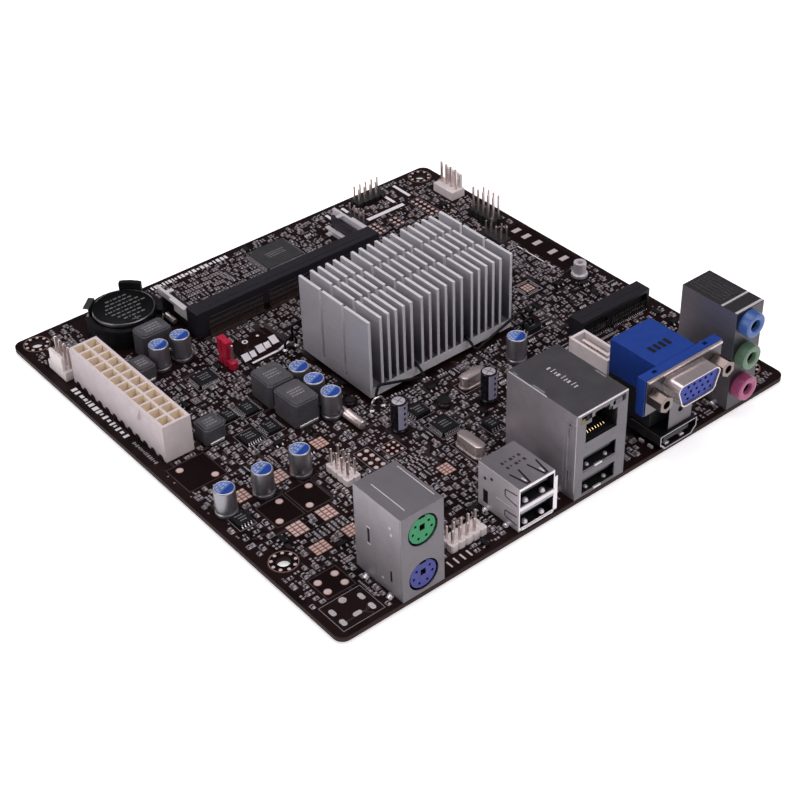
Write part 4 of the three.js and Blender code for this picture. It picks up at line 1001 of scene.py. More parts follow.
def audio():
    x_range, (y0, y1), (_, top) = span("audio_housing")
    x0, x1 = x_range
    jack_x, pitch = 148.3, (x1 - x0 - 3.3) / 6
    jacks = (("microphone", "jack_pink", 7.2), ("line_out", "jack_green", 18.4),
             ("line_in", "jack_blue", 29.6))
    cut, shade_and_highlight_strips = Solids(), Solids()
    cut.box(inside(x_range, 0.9), (5.2, 5.35), (top - 0.08, top + 1))
    for i in range(7):
        x = x0 + 1.5 + i * pitch
        cut.box((x, x + 0.35), (7.4, y1 - 1.2), (top - 0.35, top + 1))
    for z in (12.8, 24.0):
        cut.box((x0 - 1, x0 + 0.06), (0.5, y1 - 0.5), about(z, 0.05))
        cut.box(inside(x_range, 0.3), (y0 - 1, y0 + 0.06), about(z, 0.05))
    cut.box((x0 - 1, x0 + 0.5), (13.5, 15.0), (8.0, 14.0))

    # Faces round the jack holes are black, painted shade; top and front faces take darker copies of
    # the shield, painted shade.
    def face(at, normal):
        up = (at[2] - 7.2) % 11.2 if at[2] > 0 else 9
        if math.hypot(at[0] - jack_x, up) < 3.2 and at[1] > 0.2:
            return 1
        if normal.z > 0.7 and at[1] > 5:
            return 3
        return 2 if normal.y < -0.5 and at[1] < y0 + 1 else 0

    refined("audio_housing", "shield", "black", "shield_painted_shade_front", "shield_painted_shade_top", bevel=0.14,
            chosen=face, cut=cut)
    # Raised strips near the front of the top are bright as painted highlights; the raised panels
    # between the ribs take the darker top shield, painted shade.
    shade_and_highlight_strips.box(inside(x_range, 0.2), (0.25, 1.1), (top - 0.1, top + 0.14), 1, 0.06)
    shade_and_highlight_strips.box(inside(x_range, 0.2), (5.6, 6.3), (top - 0.1, top + 0.16), 1, 0.06)
    for i in range(6):
        x = x0 + 2.1 + i * pitch
        shade_and_highlight_strips.box((x, x + pitch - 0.75), (7.4, y1 - 1.2), (top - 0.1, top + 0.04), 0, 0.03)
    shade_and_highlight_strips.make("audio_shield_painted_shade_and_highlights", "shield_painted_shade_top", "nickel_bright", bevel=0.03)
    for name, colour, z in jacks:
        jack = Solids()
        jack.lathe((jack_x, z), [(2.35, -3.3), (3.45, -3.3), (3.78, -3.15), (3.9, -2.85),
                                 (3.9, -0.05), (2.7, -0.05), (2.7, 14.0), (0, 14.0), (0, 13.9),
                                 (1.8, 13.8), (1.8, -2.8), (1.95, -3.1)], 0, "y", 48, closed=True)
        # A black lining inside the bore, painted shade.
        jack.lathe((jack_x, z), [(1.83, -1.9), (1.83, 9.0), (1.68, 9.0), (1.68, -1.9)], 1, "y", 32,
                   closed=True)
        jack.make("audio_jack_%s_shape" % name, colour, "black", replaces=["audio_jack_" + name],
                  sharp=35)
    solder_feet("audio", x_range, 0.5, (5.0, 12.0, 19.0), 0.9)


# ------------------------------------------------------------------------ inner sockets

def sata():
    (x0, x1), y_range, (_, top) = span("sata_connector")
    refined("sata_connector", "white", bevel=0.13)
    contacts, x = Solids(), (x0 + x1) / 2
    for i in range(7):
        y = mid(y_range) + (i - 3) * 1.27
        contacts.box((x - 1.25, x - 0.6), about(y, 0.36), (1.6, top - 0.8), 0, 0.08)
        contacts.box((x0 - 0.9, x0 + 0.1), about(y, 0.2), (0, 0.25), 1)
    contacts.box((x - 1.9, x - 1.3), inside(y_range, 3.4), (1.55, 1.75), 0)
    contacts.make("sata_contacts", "copper", "solder", bevel=0.03)


def mini_pcie():
    (x0, x1), (y0, y1), (_, top) = span("mini_pcie_socket")
    cut, pins, pads = Solids(), Solids(), Solids()
    for x in ((x0 + 2.0, 146.2), (149.8, x1 - 2.0)):
        cut.box(x, (y0 + 2.2, y0 + 2.7), (top - 0.2, top + 1))
    for x in ((x0 + 1.3, 145.8), (147.2, x1 - 1.3)):
        cut.box(x, (y0 - 1, y0 + 1.9), (3.3, top - 1.3))
        cut.box(inside(x, 0.3), (y0 - 1, y0 + 0.5), (0.9, 3.4))

    # The back wall of the front recess is black, painted shade.
    def face(at, normal):
        return 1 if y0 + 1.6 < at[1] < y0 + 2.1 and at[2] < top - 1.1 else 0

    refined("mini_pcie_socket", "slot", "gap", bevel=0.10, chosen=face, cut=cut)
    refined("mini_pcie_post", "nickel_bright", bevel=0.12)
    x = x0 + 1.8
    while x < x1 - 1.6:
        if abs(x - 148) > 1.0:
            thin = about(x, 0.13)
            pins.boxes((thin, (y0 - 1.1, y0 + 1.4), (0, 0.25)),
                       (thin, (y0 + 0.25, y0 + 0.65), (1.1, 3.1), 1, 0.04),
                       (thin, (y0 - 0.75, y0 + 0.6), (0.25, 0.6)),
                       (thin, (y1 - 2.4, y1 - 0.5), (5.3, 5.62)),
                       (thin, (y1 - 0.3, y1 + 0.9), (0, 0.25)))
        x += 0.8
    pins.make("mini_pcie_contacts", "tinned", "spring_dark")
    for x in inside((x0, x1), 0.4):
        pads.box(about(x, 1.4), (y0 + 1.0, y0 + 4.8), (0, 0.35), 0, 0.1)
    pads.make("mini_pcie_feet", "solder")


# ---------------------------------------------------------------- capacitors and coils

def turned(x, y, degrees, u, v):
    """A rectangle's outline, turned about the point x, y."""
    t = math.radians(degrees)
    return [(x + a * math.cos(t) - b * math.sin(t), y + a * math.sin(t) + b * math.cos(t))
            for a, b in rectangle(u, v)]


def polymer_can(number):
    node = "polymer_capacitor_%d" % number
    x_range, y_range, (_, top) = span(node)
    x, y, r, ink = mid(x_range), mid(y_range), 3.2, (top - 0.09, top - 0.03)
    can, marks = Solids(), random.Random(number)
    can.lathe((x, y), [(0, 0.05), (r - 0.1, 0.05), (r + 0.1, 0.3), (r + 0.1, 1.15), (r - 0.1, 1.45),
                       (r - 0.5, 1.6), (r - 0.5, 1.75), (r - 0.15, 1.95), (r, 2.2), (r, top - 0.5),
                       (r - 0.08, top - 0.2), (r - 0.25, top - 0.05), (r - 0.3, top - 0.4),
                       (0, top - 0.4)], 0, sides=48)
    can.lathe((x, y), [(r - 0.3, top - 0.3), (r - 0.25, top - 0.05), (r - 0.38, top),
                       (r - 0.5, top - 0.07), (0, top - 0.07)], 2, sides=48)
    can.rod((x, y), r - 0.52, (top - 0.1, top - 0.045), 3, sides=48)
    can.prism(arc(x, y, r - 0.5, -150, 10, 24), ink, 1)
    for row in range(3):
        away = -0.3 - row * 0.8
        half = math.sqrt((r - 0.7) ** 2 - away ** 2) - 0.2
        at = -half
        while at < half - 0.3:
            end = min(at + marks.uniform(0.4, 1.1), half)
            can.prism(turned(x, y, -70, about(away, 0.2), (at, end)), ink, 2)
            at = end + marks.uniform(0.5, 1.1)
    can.make(node + "_can", "can", "can_print", "can_top", "can_print_pale", replaces=[node],
             sharp=30)


def electrolytic_can(number):
    node = "electrolytic_capacitor_%d" % number
    x_range, y_range, (_, top) = span(node)
    x, y, r = mid(x_range), mid(y_range), 2.5
    can = Solids()
    can.lathe((x, y), [(r - 0.2, 0.3), (r, 0.5), (r, 1.1), (r - 0.3, 1.45), (r, 1.8),
                       (r, top - 0.25), (r - 0.12, top - 0.05), (r - 0.35, top),
                       (r - 0.5, top - 0.02), (r - 0.5, top - 0.4), (r - 0.6, 0.3)],
              0, sides=48, closed=True)
    can.lathe((x, y), [(0, top - 0.5), (r - 0.45, top - 0.5), (r - 0.5, top - 0.12),
                       (r - 0.7, top - 0.08), (0, top - 0.1)], 1, sides=48)
    can.lathe((x, y), [(0, 0.05), (r - 0.3, 0.05), (r - 0.3, 0.5), (0, 0.5)], 3, sides=32)
    for degrees in (20, 110):   # the cross that is scored in its top
        # The scored cross is drawn dark, painted shade in its grooves.
        can.prism(turned(x, y, degrees, (-1.6, 1.6), (-0.08, 0.08)), (top - 0.12, top - 0.04), 2)
    stripe = arc(x, y, r + 0.03, -132, -44, 18) + arc(x, y, r - 0.1, -44, -132, 18)
    can.prism(stripe, (2.0, top - 0.4), 4)
    dash = arc(x, y, r + 0.05, -92, -76, 5) + arc(x, y, r - 0.1, -76, -92, 5)
    for z in (3.0, 5.0, 7.0, 9.0):
        can.prism(dash, (z, z + 0.9), 0)
    can.make(node + "_can", "sleeve", "can_top", "nickel_dark", "rubber", "sleeve_stripe",
             replaces=[node], sharp=30)


def inductor(number):
    node = "inductor_%d" % number
    x_range, y_range, (_, top) = span(node)
    y0, y1 = inside(y_range, 0.28)
    marks, draw = Solids(), random.Random(40 + number)
    refined(node, "ferrite", "solder", bevel=0.3,
            chosen=lambda at, normal: 1 if at[2] < 0.95 and not y0 <= at[1] <= y1 else 0)
    left, right = about(mid(x_range), (x_range[1] - x_range[0]) * 0.26)
    for row in range(3):
        y, x = mid(y_range) + 1.2 - row * 1.25, left
        while x < right:
            length = draw.uniform(0.35, 0.9)
            marks.box((x, min(x + length, right)), about(y, 0.3), (top - 0.02, top + 0.015))
            x += length + draw.uniform(0.15, 0.35)
    marks.make(node + "_marking", "ferrite_mark")


# ------------------------------------------------------------------------------ headers

standing = []     # where the headers that aren't CAD nodes stand, as x and y ranges


def header_pin(solids, x, y, z, thick=PIN):
    solids.box(about(x, thick / 2), about(y, thick / 2), z, 0, edge=0.16)


def fan_header(node, out):
    """A fan's four pins, and the guide wall on the side that out looks away from."""
    (x0, x1), (y0, y1), _ = span(node)
    wall = x0 if out == 1 else x1
    body, pins = Solids(), Solids()
    body.box((x0, x1), (y0, y1), (0.05, 3.2))
    body.box(beside(wall, out, 0, 1.0), (y0 + 1.2, y1 - 1.6), (3.0, 8.2), 0, 0.12)
    for y in (y0 + 2.2, y1 - 2.8):
        body.box(beside(wall, out, 0.95, 1.7), about(y, 0.35), (3.1, 6.6), 0, 0.1)
    body.make(node + "_plastic", "white", replaces=[node], bevel=0.14)
    for i in range(4):
        header_pin(pins, (x0 + x1) / 2, (y0 + y1) / 2 + (i - 1.5) * PITCH, (2.9, 11.2))
    pins.make(node + "_pins", "pin")


def pin_header(name, x, y, columns, rows, base, top, colour, replaces=(), missing=(), thick=PIN):
    """A block of pins whose first pin stands at x, y. Each pin's base has cut corners."""
    body, pins, half, short = Solids(), Solids(), PITCH / 2 - 0.01, PITCH / 2 - 0.43
    for i in range(columns):
        for j in range(rows):
            cx, cy = x + i * PITCH, y + j * PITCH
            outline = [(cx + u * a, cy + v * b) for u, v, a, b in (
                (-1, -1, short, half), (1, -1, short, half), (1, -1, half, short),
                (1, 1, half, short), (1, 1, short, half), (-1, 1, short, half),
                (-1, 1, half, short), (-1, -1, half, short))]
            body.prism(outline, (0.05, base), 0, edge=0.08)
            if (i, j) not in missing:
                header_pin(pins, cx, cy, (base - 0.2, top), thick)
    body.make(name + "_plastic", colour, replaces=replaces)
    pins.make(name + "_pins", "pin")
    standing.append(((x - 1.4, x + (columns - 1) * PITCH + 1.4),
                     (y - 1.4, y + (rows - 1) * PITCH + 1.4)))


def headers():
    fan_header("cpu_fan_header", 1)
    fan_header("system_fan_header", -1)
    pin_header("front_panel_header", 162.4 - PITCH / 2, 122.4, 2, 5, 2.5, 11.0, "black",
               ["front_panel_header"], [(1, 4)], 0.5)
    pin_header("clear_cmos_header", 46.0, 113.4, 1, 3, 2.5, 8.6, "red", ["clear_cmos_header"])
    refined("jumper_cap", "red", bevel=0.12, body="jumper_cap")
    pin_header("usb_pin_header", 38.9, 46.8, 2, 4, 2.2, 8.2, "white", thick=0.52)
    pin_header("front_usb_header", 43.3, 7.0, 5, 2, 2.5, 7.0, "white", missing=[(4, 0)])
    pin_header("serial_header", 134.6, 163.4, 5, 2, 1.6, 6.9, "black", (), [(4, 0)], 0.46)
    pin_header("speaker_header", 156.3, 112.9, 2, 4, 0.3, 4.9, "black", (), [(1, 2)], 0.44)
    pin_header("audio_front_header", 128.7, 153.4, 1, 4, 0.3, 4.9, "black", thick=0.44)


for build in (ps2, usb, lan, video, audio, sata, mini_pcie):
    build()
for number in range(1, 10):
    polymer_can(number)
for number in (1, 2):
    electrolytic_can(number)
for number in range(1, 6):
    inductor(number)
headers()


# ------------------------------------------------------------ what covers the bare board

INK = (0.0, 0.028)       # printed marks stand this high on the lacquer
TIN = (0.0, 0.06)        # bare tinned pads
COPPER = (0, 0.02)       # copper paths and lands
BARED = (0, 0.024)       # lacquer inside a copper outline
LAND = (0, 0.03)         # the copper ring of a plated hole
BLOB = (0, 0.08)         # solder on a large pad
FILLED = (0, 0.09)       # a hole filled with solder
SCREW_HOLES = [(6.35, 33.02), (6.35, 165.1), (163.83, 165.1), (163.83, 10.16)]
seeded = random.Random(11)


class Plan:
    """Remembers which squares of the board's top are taken, on a fine grid."""

    CELL = 0.25
    EDGE = 1.2           # the board's rim, which stays bare

    def __init__(self):
        self.side = int(BOARD_SIDE / self.CELL)
        self.rows = [bytearray(self.side) for _ in range(self.side)]

    def window(self, x, y, margin=0.0):
        for low, high in (x, y):
            yield max(0, int((low - margin) / self.CELL))
            yield min(self.side, int(math.ceil((high + margin) / self.CELL)))

    def free(self, x, y):
        if min(x[0], y[0]) < self.EDGE or max(x[1], y[1]) > BOARD_SIDE - self.EDGE:
            return False
        x0, x1, y0, y1 = self.window(x, y)
        return not any(any(row[x0:x1]) for row in self.rows[y0:y1])

    def take(self, x, y, margin=0.0):
        x0, x1, y0, y1 = self.window(x, y, margin)
        for row in self.rows[y0:y1]:
            row[x0:x1] = b"\x01" * (x1 - x0)


plan = Plan()
print_work, pad_work, part_work, trace_work = Solids(), Solids(), Solids(), Solids()
PRINT, BRIGHT = 0, 1                      # slots of the printed marks
TINNED, PINK, JOINT, WHITE = 0, 1, 2, 3   # slots of the pads
BODY, TAN, GREY, ENDS = 0, 1, 2, 3        # slots of the small parts
PATH, BARE = 0, 1                         # slots of the copper paths and bare lacquer


def reserve_nodes():
    """Keeps the board's small parts clear of everything that stands on it."""
    skipped = ("circuit_board", "heatsink_clip_left", "heatsink_clip_right", "sodimm_socket",
               "video_base", "vga_front_shell", "vga_body")
    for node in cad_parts:
        if node not in skipped:
            x, y, z = span(node)
            if z[0] < 6:
                plan.take(x, y, 0.35)
    x, y, _ = span("sodimm_socket")
    plan.take(x, (y[0] - 1.0, y[0] + 7.2), 0.2)
    for arm in ((x[0] + 0.5, x[0] + 6.0), (x[1] - 6.0, x[1] - 0.5)):
        plan.take(arm, (y[0], y[1] + 1.6), 0.2)
    x, y, _ = span("vga_body")
    plan.take(inside(x, 7), (0, y[1]), 0.3)
    for x, y in standing:
        plan.take(x, y, 0.2)
    for x, y in SCREW_HOLES:
        plan.take(about(x, 4.6), about(y, 4.6))


def band(solids, x, y, hole, radius, z, slot, sides=48):
    """A flat ring round x, y."""
    solids.lathe((x, y), [(radius, z[0]), (radius, z[1]), (hole, z[1]), (hole, z[0])], slot,
                 sides=sides, closed=True)


def disc(solids, x, y, radius, z, slot, sides=24):
    solids.rod((x, y), radius, z, slot, sides=sides)


def strip(solids, path, width, z, slot=0):
    """A flat line of even width along a path, one closed piece for each run."""
    for (ax, ay), (bx, by) in zip(path, path[1:]):
        length = math.hypot(bx - ax, by - ay)
        if length < 0.02:
            continue
        ux, uy = (bx - ax) / length, (by - ay) / length
        px, py = -uy * width / 2, ux * width / 2
        ex, ey = ux * width * 0.2, uy * width * 0.2
        outline = [(ax - ex + px, ay - ey + py), (ax - ex - px, ay - ey - py),
                   (bx + ex - px, by + ey - py), (bx + ex + px, by + ey + py)]
        solids.prism(outline, z, slot)


def lay(solids, x, y, along_x, u, v, z, slot, edge=0.0):
    """A box at x, y that reaches over u along a part and over v across it."""
    dx, dy = (u, v) if along_x else (v, u)
    solids.box((x + dx[0], x + dx[1]), (y + dy[0], y + dy[1]), z, slot, edge)


def dashes(x, y, length, height=0.8, slot=PRINT, upright=False, gap=0.28, widths=(0.16, 0.5)):
    """A row of plain strokes, where the real board has small print."""
    at = 0.0
    while at < length - 0.2:
        stroke = seeded.uniform(*widths)
        tall = height * seeded.choice((1.0, 1.0, 0.6))
        lay(print_work, x, y, not upright, (at, at + stroke), about(0, tall / 2), INK, slot)
        at += stroke + gap * seeded.uniform(0.6, 1.2)


def chip_part(x, y, along_x, size, look, printed=True):
    """A chip resistor or capacitor with two tinned ends, and a printed stroke at each side."""
    length, width, height = size
    half, wide, end = length / 2, width / 2, length * 0.24
    lay(part_work, x, y, along_x, about(0, half - end), about(0, wide), (0.02, height), look)
    for side in (-1, 1):
        lay(part_work, x, y, along_x, beside(0, side, half, half - end), about(0, wide + 0.02),
            (0.02, height + 0.02), ENDS)
        lay(pad_work, x, y, along_x, beside(0, side, half + 0.28, half - end),
            about(0, wide + 0.06), TIN, TINNED)
    if printed:
        for side in (-1, 1):
            lay(print_work, x, y, along_x, about(0, half + 0.3),
                beside(0, side, wide + 0.2, wide + 0.36), INK, PRINT)


def bare_pads(x, y, along_x, length=0.62, width=0.72, gap=0.45):
    """Two bare pads where a chip part was left off."""
    for side in (-1, 1):
        lay(pad_work, x, y, along_x, beside(0, side, gap / 2, gap / 2 + length),
            about(0, width / 2), TIN, TINNED)


def small_package(x, y, along_x, leads, size=(2.9, 1.4, 1.0)):
    """A little moulded transistor or driver with bent leads at its long sides."""
    length, width, height = size
    wall = width / 2
    lay(part_work, x, y, along_x, about(0, length / 2), about(0, wall), (0.1, height), BODY, 0.12)
    for side, count in ((-1, leads - leads // 2), (1, leads // 2)):
        pitch = length * 0.66 if count == 2 else length / count * 0.95
        for i in range(count):
            u = (i - (count - 1) / 2) * pitch
            for solids, half, near, far, z, slot in (
                    (part_work, 0.2, -0.1, 0.5, (0.0, 0.16), ENDS),
                    (part_work, 0.2, -0.05, 0.15, (0.1, 0.5), ENDS),
                    (pad_work, 0.28, 0.0, 0.65, TIN, TINNED)):
                lay(solids, x, y, along_x, about(u, half), beside(0, side, wall + near, wall + far),
                    z, slot)


GRID = 0.65              # the small parts stand on this grid
KINDS = {  # kind of small part: its half length and half width with room, pitch in a row, odds
    "chip": (0.95, 0.62, 1.3, 34),
    "bare": (1.0, 0.45, 0.95, 17),
    "large": (1.45, 0.85, 1.8, 26),
    "package": (1.8, 1.5, 3.2, 9),
    "array": (1.9, 1.3, 2.8, 8),
}


def cluster(x, y, along_x, kind, count):
    """Lays a short row of like parts, as far as there is room, and says how many it laid."""
    long, wide, pitch, _ = KINDS[kind]
    for laid in range(count):
        cx, cy = (x, y + laid * pitch) if along_x else (x + laid * pitch, y)
        room = about(cx, long if along_x else wide), about(cy, wide if along_x else long)
        if not plan.free(*room):
            return laid
        plan.take(*room)
        if kind == "chip":
            look = seeded.choices((TAN, GREY, BODY), (4, 3, 5))[0]
            chip_part(cx, cy, along_x, (1.1, 0.58, 0.4), look)
        elif kind == "large":
            look = seeded.choices((TAN, BODY), (5, 4))[0]
            chip_part(cx, cy, along_x, (1.7, 0.85, 0.7), look)
        elif kind == "bare":
            bare_pads(cx, cy, along_x)
        elif kind == "package":
            small_package(cx, cy, along_x, seeded.choice((3, 3, 6)))
        else:
            small_package(cx, cy, along_x, 8, (3.0, 1.2, 0.5))
    return count


def populate(tries):
    """Fills the free board with short rows of small parts, drawn from a seeded generator."""
    for _ in range(tries):
        kind = seeded.choices(list(KINDS), [odds for *_, odds in KINDS.values()])[0]
        pitch = KINDS[kind][2]
        few = kind in ("chip", "bare")
        count = seeded.choice((1, 2, 2, 3, 4, 5, 7) if few else (1, 1, 2))
        x, y = [round(seeded.uniform(2, 168) / GRID) * GRID for _ in "xy"]
        along_x = seeded.random() < 0.42
        laid = cluster(x, y, along_x, kind, count)
        if laid > 1 and seeded.random() < 0.22:
            w, h = (1.25, laid * pitch) if along_x else (laid * pitch, 1.25)
            ax, ay = (x - w, y - pitch * 0.6) if along_x else (x - pitch * 0.6, y - h)
            bx, by = (x + w, ay + h + pitch * 0.2) if along_x else (ax + w + pitch * 0.2, y + h)
            print_work.frame((ax, bx), (ay, by), INK, 0.16, PRINT)


def small_print(tries):
    """Plain strokes beside the parts, in the little room that is left."""
    for _ in range(tries):
        x, y = seeded.uniform(2, 166), seeded.uniform(2, 166)
        length = seeded.uniform(1.2, 2.6)
        upright = seeded.random() < 0.5
        room = (about(x, 0.5), (y, y + length)) if upright else ((x, x + length), about(y, 0.5))
        if plan.free(*room):
            plan.take(*room)
            dashes(x, y, length, 0.75, PRINT, upright)


def vias(tries):
    for _ in range(tries):
        x, y = seeded.uniform(2, 168), seeded.uniform(2, 168)
        if plan.free(about(x, 0.32), about(y, 0.32)):
            plan.take(about(x, 0.3), about(y, 0.3))
            band(pad_work, x, y, 0.12, 0.27, (0, 0.035), TINNED, 8)


def ic(name, x, y, height, sides="xy", pitch=0.65, lead=0.9, colour="chip"):
    """A flat package with bent leads on the sides named: x means left and right."""
    body, wide = Solids(), pitch * 0.36
    ink, waist = (height - 0.02, height + 0.012), height * 0.5
    body.box(x, y, (0.12, height), 0, edge=0.12)
    for axis in sides:
        along, across = (y, x) if axis == "x" else (x, y)
        count = int((along[1] - along[0] - 0.8) / pitch) + 1
        start = (along[0] + along[1] - (count - 1) * pitch) / 2
        for i in range(count):
            row = about(start + i * pitch, wide / 2)
            for side, wall in ((-1, across[0]), (1, across[1])):
                # A lead's foot on the board, its shoulder at the package, and the drop between.
                for near, far, z in ((0.25, lead, (0, 0.15)), (-0.1, 0.35, (waist, waist + 0.14)),
                                     (0.22, 0.4, (0.05, waist + 0.12))):
                    reach = beside(wall, side, near, far)
                    body.box(*((reach, row) if axis == "x" else (row, reach)), z, 1)
    body.rod((x[0] + 1.0, y[1] - 1.0), 0.3, ink, 2, sides=12)
    rows = 3 if y[1] - y[0] > 4 else 2
    left, right = inside(x, (x[1] - x[0]) * 0.26)
    for i in range(rows):
        at = left
        while at < right:
            length = seeded.uniform(0.25, 0.7)
            body.box((at, at + length), about(mid(y) + (i - (rows - 1) / 2) * 1.1, 0.24), ink, 2)
            at += length + 0.22
    body.make(name, colour, "solder", "chip_print")
    x = inside(x, -lead if "x" in sides else -0.2)
    y = inside(y, -lead if "y" in sides else -0.2)
    plan.take(x, y, 0.2)
    print_work.frame(inside(x, -0.35), inside(y, -0.35), INK, 0.13, PRINT)


def screw_lands():
    """The round land at each screw hole, with its ring of small plated holes."""
    for x, y in SCREW_HOLES:
        band(trace_work, x, y, 4.1, 4.4, COPPER, PATH)
        band(trace_work, x, y, 2.6, 4.0, COPPER, BARE)
        band(pad_work, x, y, 4.0, 4.12, LAND, PINK)
        for hole in arc(x, y, 3.35, 20, 340, 8):
            disc(pad_work, *hole, 0.5, FILLED, WHITE, 14)


def empty_square(x, y, pads):
    """A printed outline with bare through-hole pads, where a coil was left off."""
    trace_work.frame(x, y, COPPER, 0.25, PATH)
    trace_work.box(inside(x, 0.3), inside(y, 0.3), BARED, BARE)
    for pad in pads:
        disc(pad_work, *pad, 1.15, LAND, PINK)
        disc(pad_work, *pad, 0.9, (0, 0.12), WHITE)
    plan.take(x, y, 0.1)


def pad_array(x, y, columns=3, rows=4):
    """A block of copper-edged bare pads."""
    pitch_x, pitch_y = (x[1] - x[0]) / columns, (y[1] - y[0]) / rows
    for i in range(columns):
        for j in range(rows):
            ax, ay = x[0] + i * pitch_x, y[0] + j * pitch_y
            for margin, z, slot in ((0.08, COPPER, PINK), (0.3, TIN, WHITE)):
                pad_work.box(inside((ax, ax + pitch_x), margin), inside((ay, ay + pitch_y), margin),
                             z, slot)
    plan.take(x, y, 0.1)


def bar_rows(x, y, pitch=1.15, row_pitch=2.5):
    """Rows of narrow bare pads, side by side."""
    at_y = y[0]
    while at_y + 1.7 <= y[1]:
        at_x = x[0]
        while at_x + 0.5 <= x[1]:
            if seeded.random() > 0.25 and plan.free((at_x, at_x + 0.55), (at_y, at_y + 1.7)):
                at = at_x + 0.27, at_y + 0.85
                if seeded.random() < 0.5:
                    chip_part(*at, False, (1.0, 0.5, 0.35), seeded.choice((TAN, BODY)), False)
                else:
                    bare_pads(*at, False, 0.72, 0.6, 0.3)
                if seeded.random() < 0.6:
                    print_work.box((at_x + 0.68, at_x + 0.88), (at_y - 0.1, at_y + 1.8), INK, PRINT)
                plan.take((at_x, at_x + 0.8), (at_y, at_y + 1.7))
            at_x += pitch
        at_y += row_pitch


def pin_pads(x, y, columns, rows, pitch_x, pitch_y, radius=0.55):
    """Bare through-hole pads of a header that was left off."""
    for i in range(columns):
        for j in range(rows):
            cx, cy = x + i * pitch_x, y + j * pitch_y
            disc(pad_work, cx, cy, radius + 0.14, LAND, PINK, 14)
            disc(pad_work, cx, cy, radius, FILLED, WHITE, 14)
    x_range = (x - pitch_x * 0.55, x + (columns - 0.45) * pitch_x)
    y_range = (y - pitch_y * 0.55, y + (rows - 0.45) * pitch_y)
    print_work.frame(x_range, y_range, INK, 0.13, PRINT)
    plan.take(x_range, y_range, 0.15)


def crystal(name, x, y, height):
    """A metal crystal can with rounded ends on a flat flange."""
    can = Solids()
    along_x = x[1] - x[0] > y[1] - y[0]
    radius = min(x[1] - x[0], y[1] - y[0]) / 2

    def stadium(shrink):
        r = radius - shrink
        if along_x:
            ends = ((x[1] - radius, mid(y), -90), (x[0] + radius, mid(y), 90))
        else:
            ends = ((mid(x), y[1] - radius, 0), (mid(x), y[0] + radius, 180))
        return [p for cx, cy, start in ends for p in arc(cx, cy, r, start, start + 180, 12)]

    can.layers([(stadium(shrink), z) for shrink, z in (
        (0.0, 0.25), (0.0, 0.62), (0.05, 0.7), (0.42, 0.76), (0.45, height - 0.35),
        (0.55, height - 0.1), (0.8, height))], 0)
    can.layers([(stadium(0.15), 0.03), (stadium(0.15), 0.3)], 1)
    can.make(name, "nickel_warm", "black")
    plan.take(x, y, 0.5)
    print_work.frame(inside(x, -0.5), inside(y, -0.5), INK, 0.14, PRINT)


def lying_can(name, x, y0, y1, r):
    """A small metal cylinder that lies on the board, with its two wires bent down into it."""
    can, z = Solids(), r + 0.1
    can.lathe((x, z), [(0, y0), (r - 0.25, y0 + 0.05), (r, y0 + 0.4), (r, y1 - 0.9),
                       (r + 0.12, y1 - 0.7), (r + 0.12, y1 - 0.2), (r - 0.1, y1), (0, y1)],
              0, "y", 32)
    for wire in (x - 0.5, x + 0.5):
        can.tube(eased([(wire, y1 - 0.3, z), (wire, y1 + 1.3, z), (wire, y1 + 1.5, 0.0)], 0.5),
                 0.17, 1, 8)
    can.make(name, "nickel_warm", "solder", sharp=35)
    plan.take(about(x, r), (y0, y1 + 2), 0.3)


def round_coil(name, x, y, r, top):
    """A small black coil former with a waist of copper wire."""
    coil = Solids()
    for slot, profile in (
            (0, [(0, 0.05), (r, 0.05), (r, 0.5), (r * 0.7, 0.6)]),
            (1, [(r * 0.78, 0.45), (r * 0.84, 0.6), (r * 0.84, top - 0.6), (r * 0.78, top - 0.45)]),
            (0, [(r * 0.7, top - 0.6), (r, top - 0.5), (r - 0.1, top), (0, top)])):
        coil.lathe((x, y), profile, slot, sides=28)
    coil.make(name, "chip", "copper")
    plan.take(about(x, r), about(y, r), 0.4)


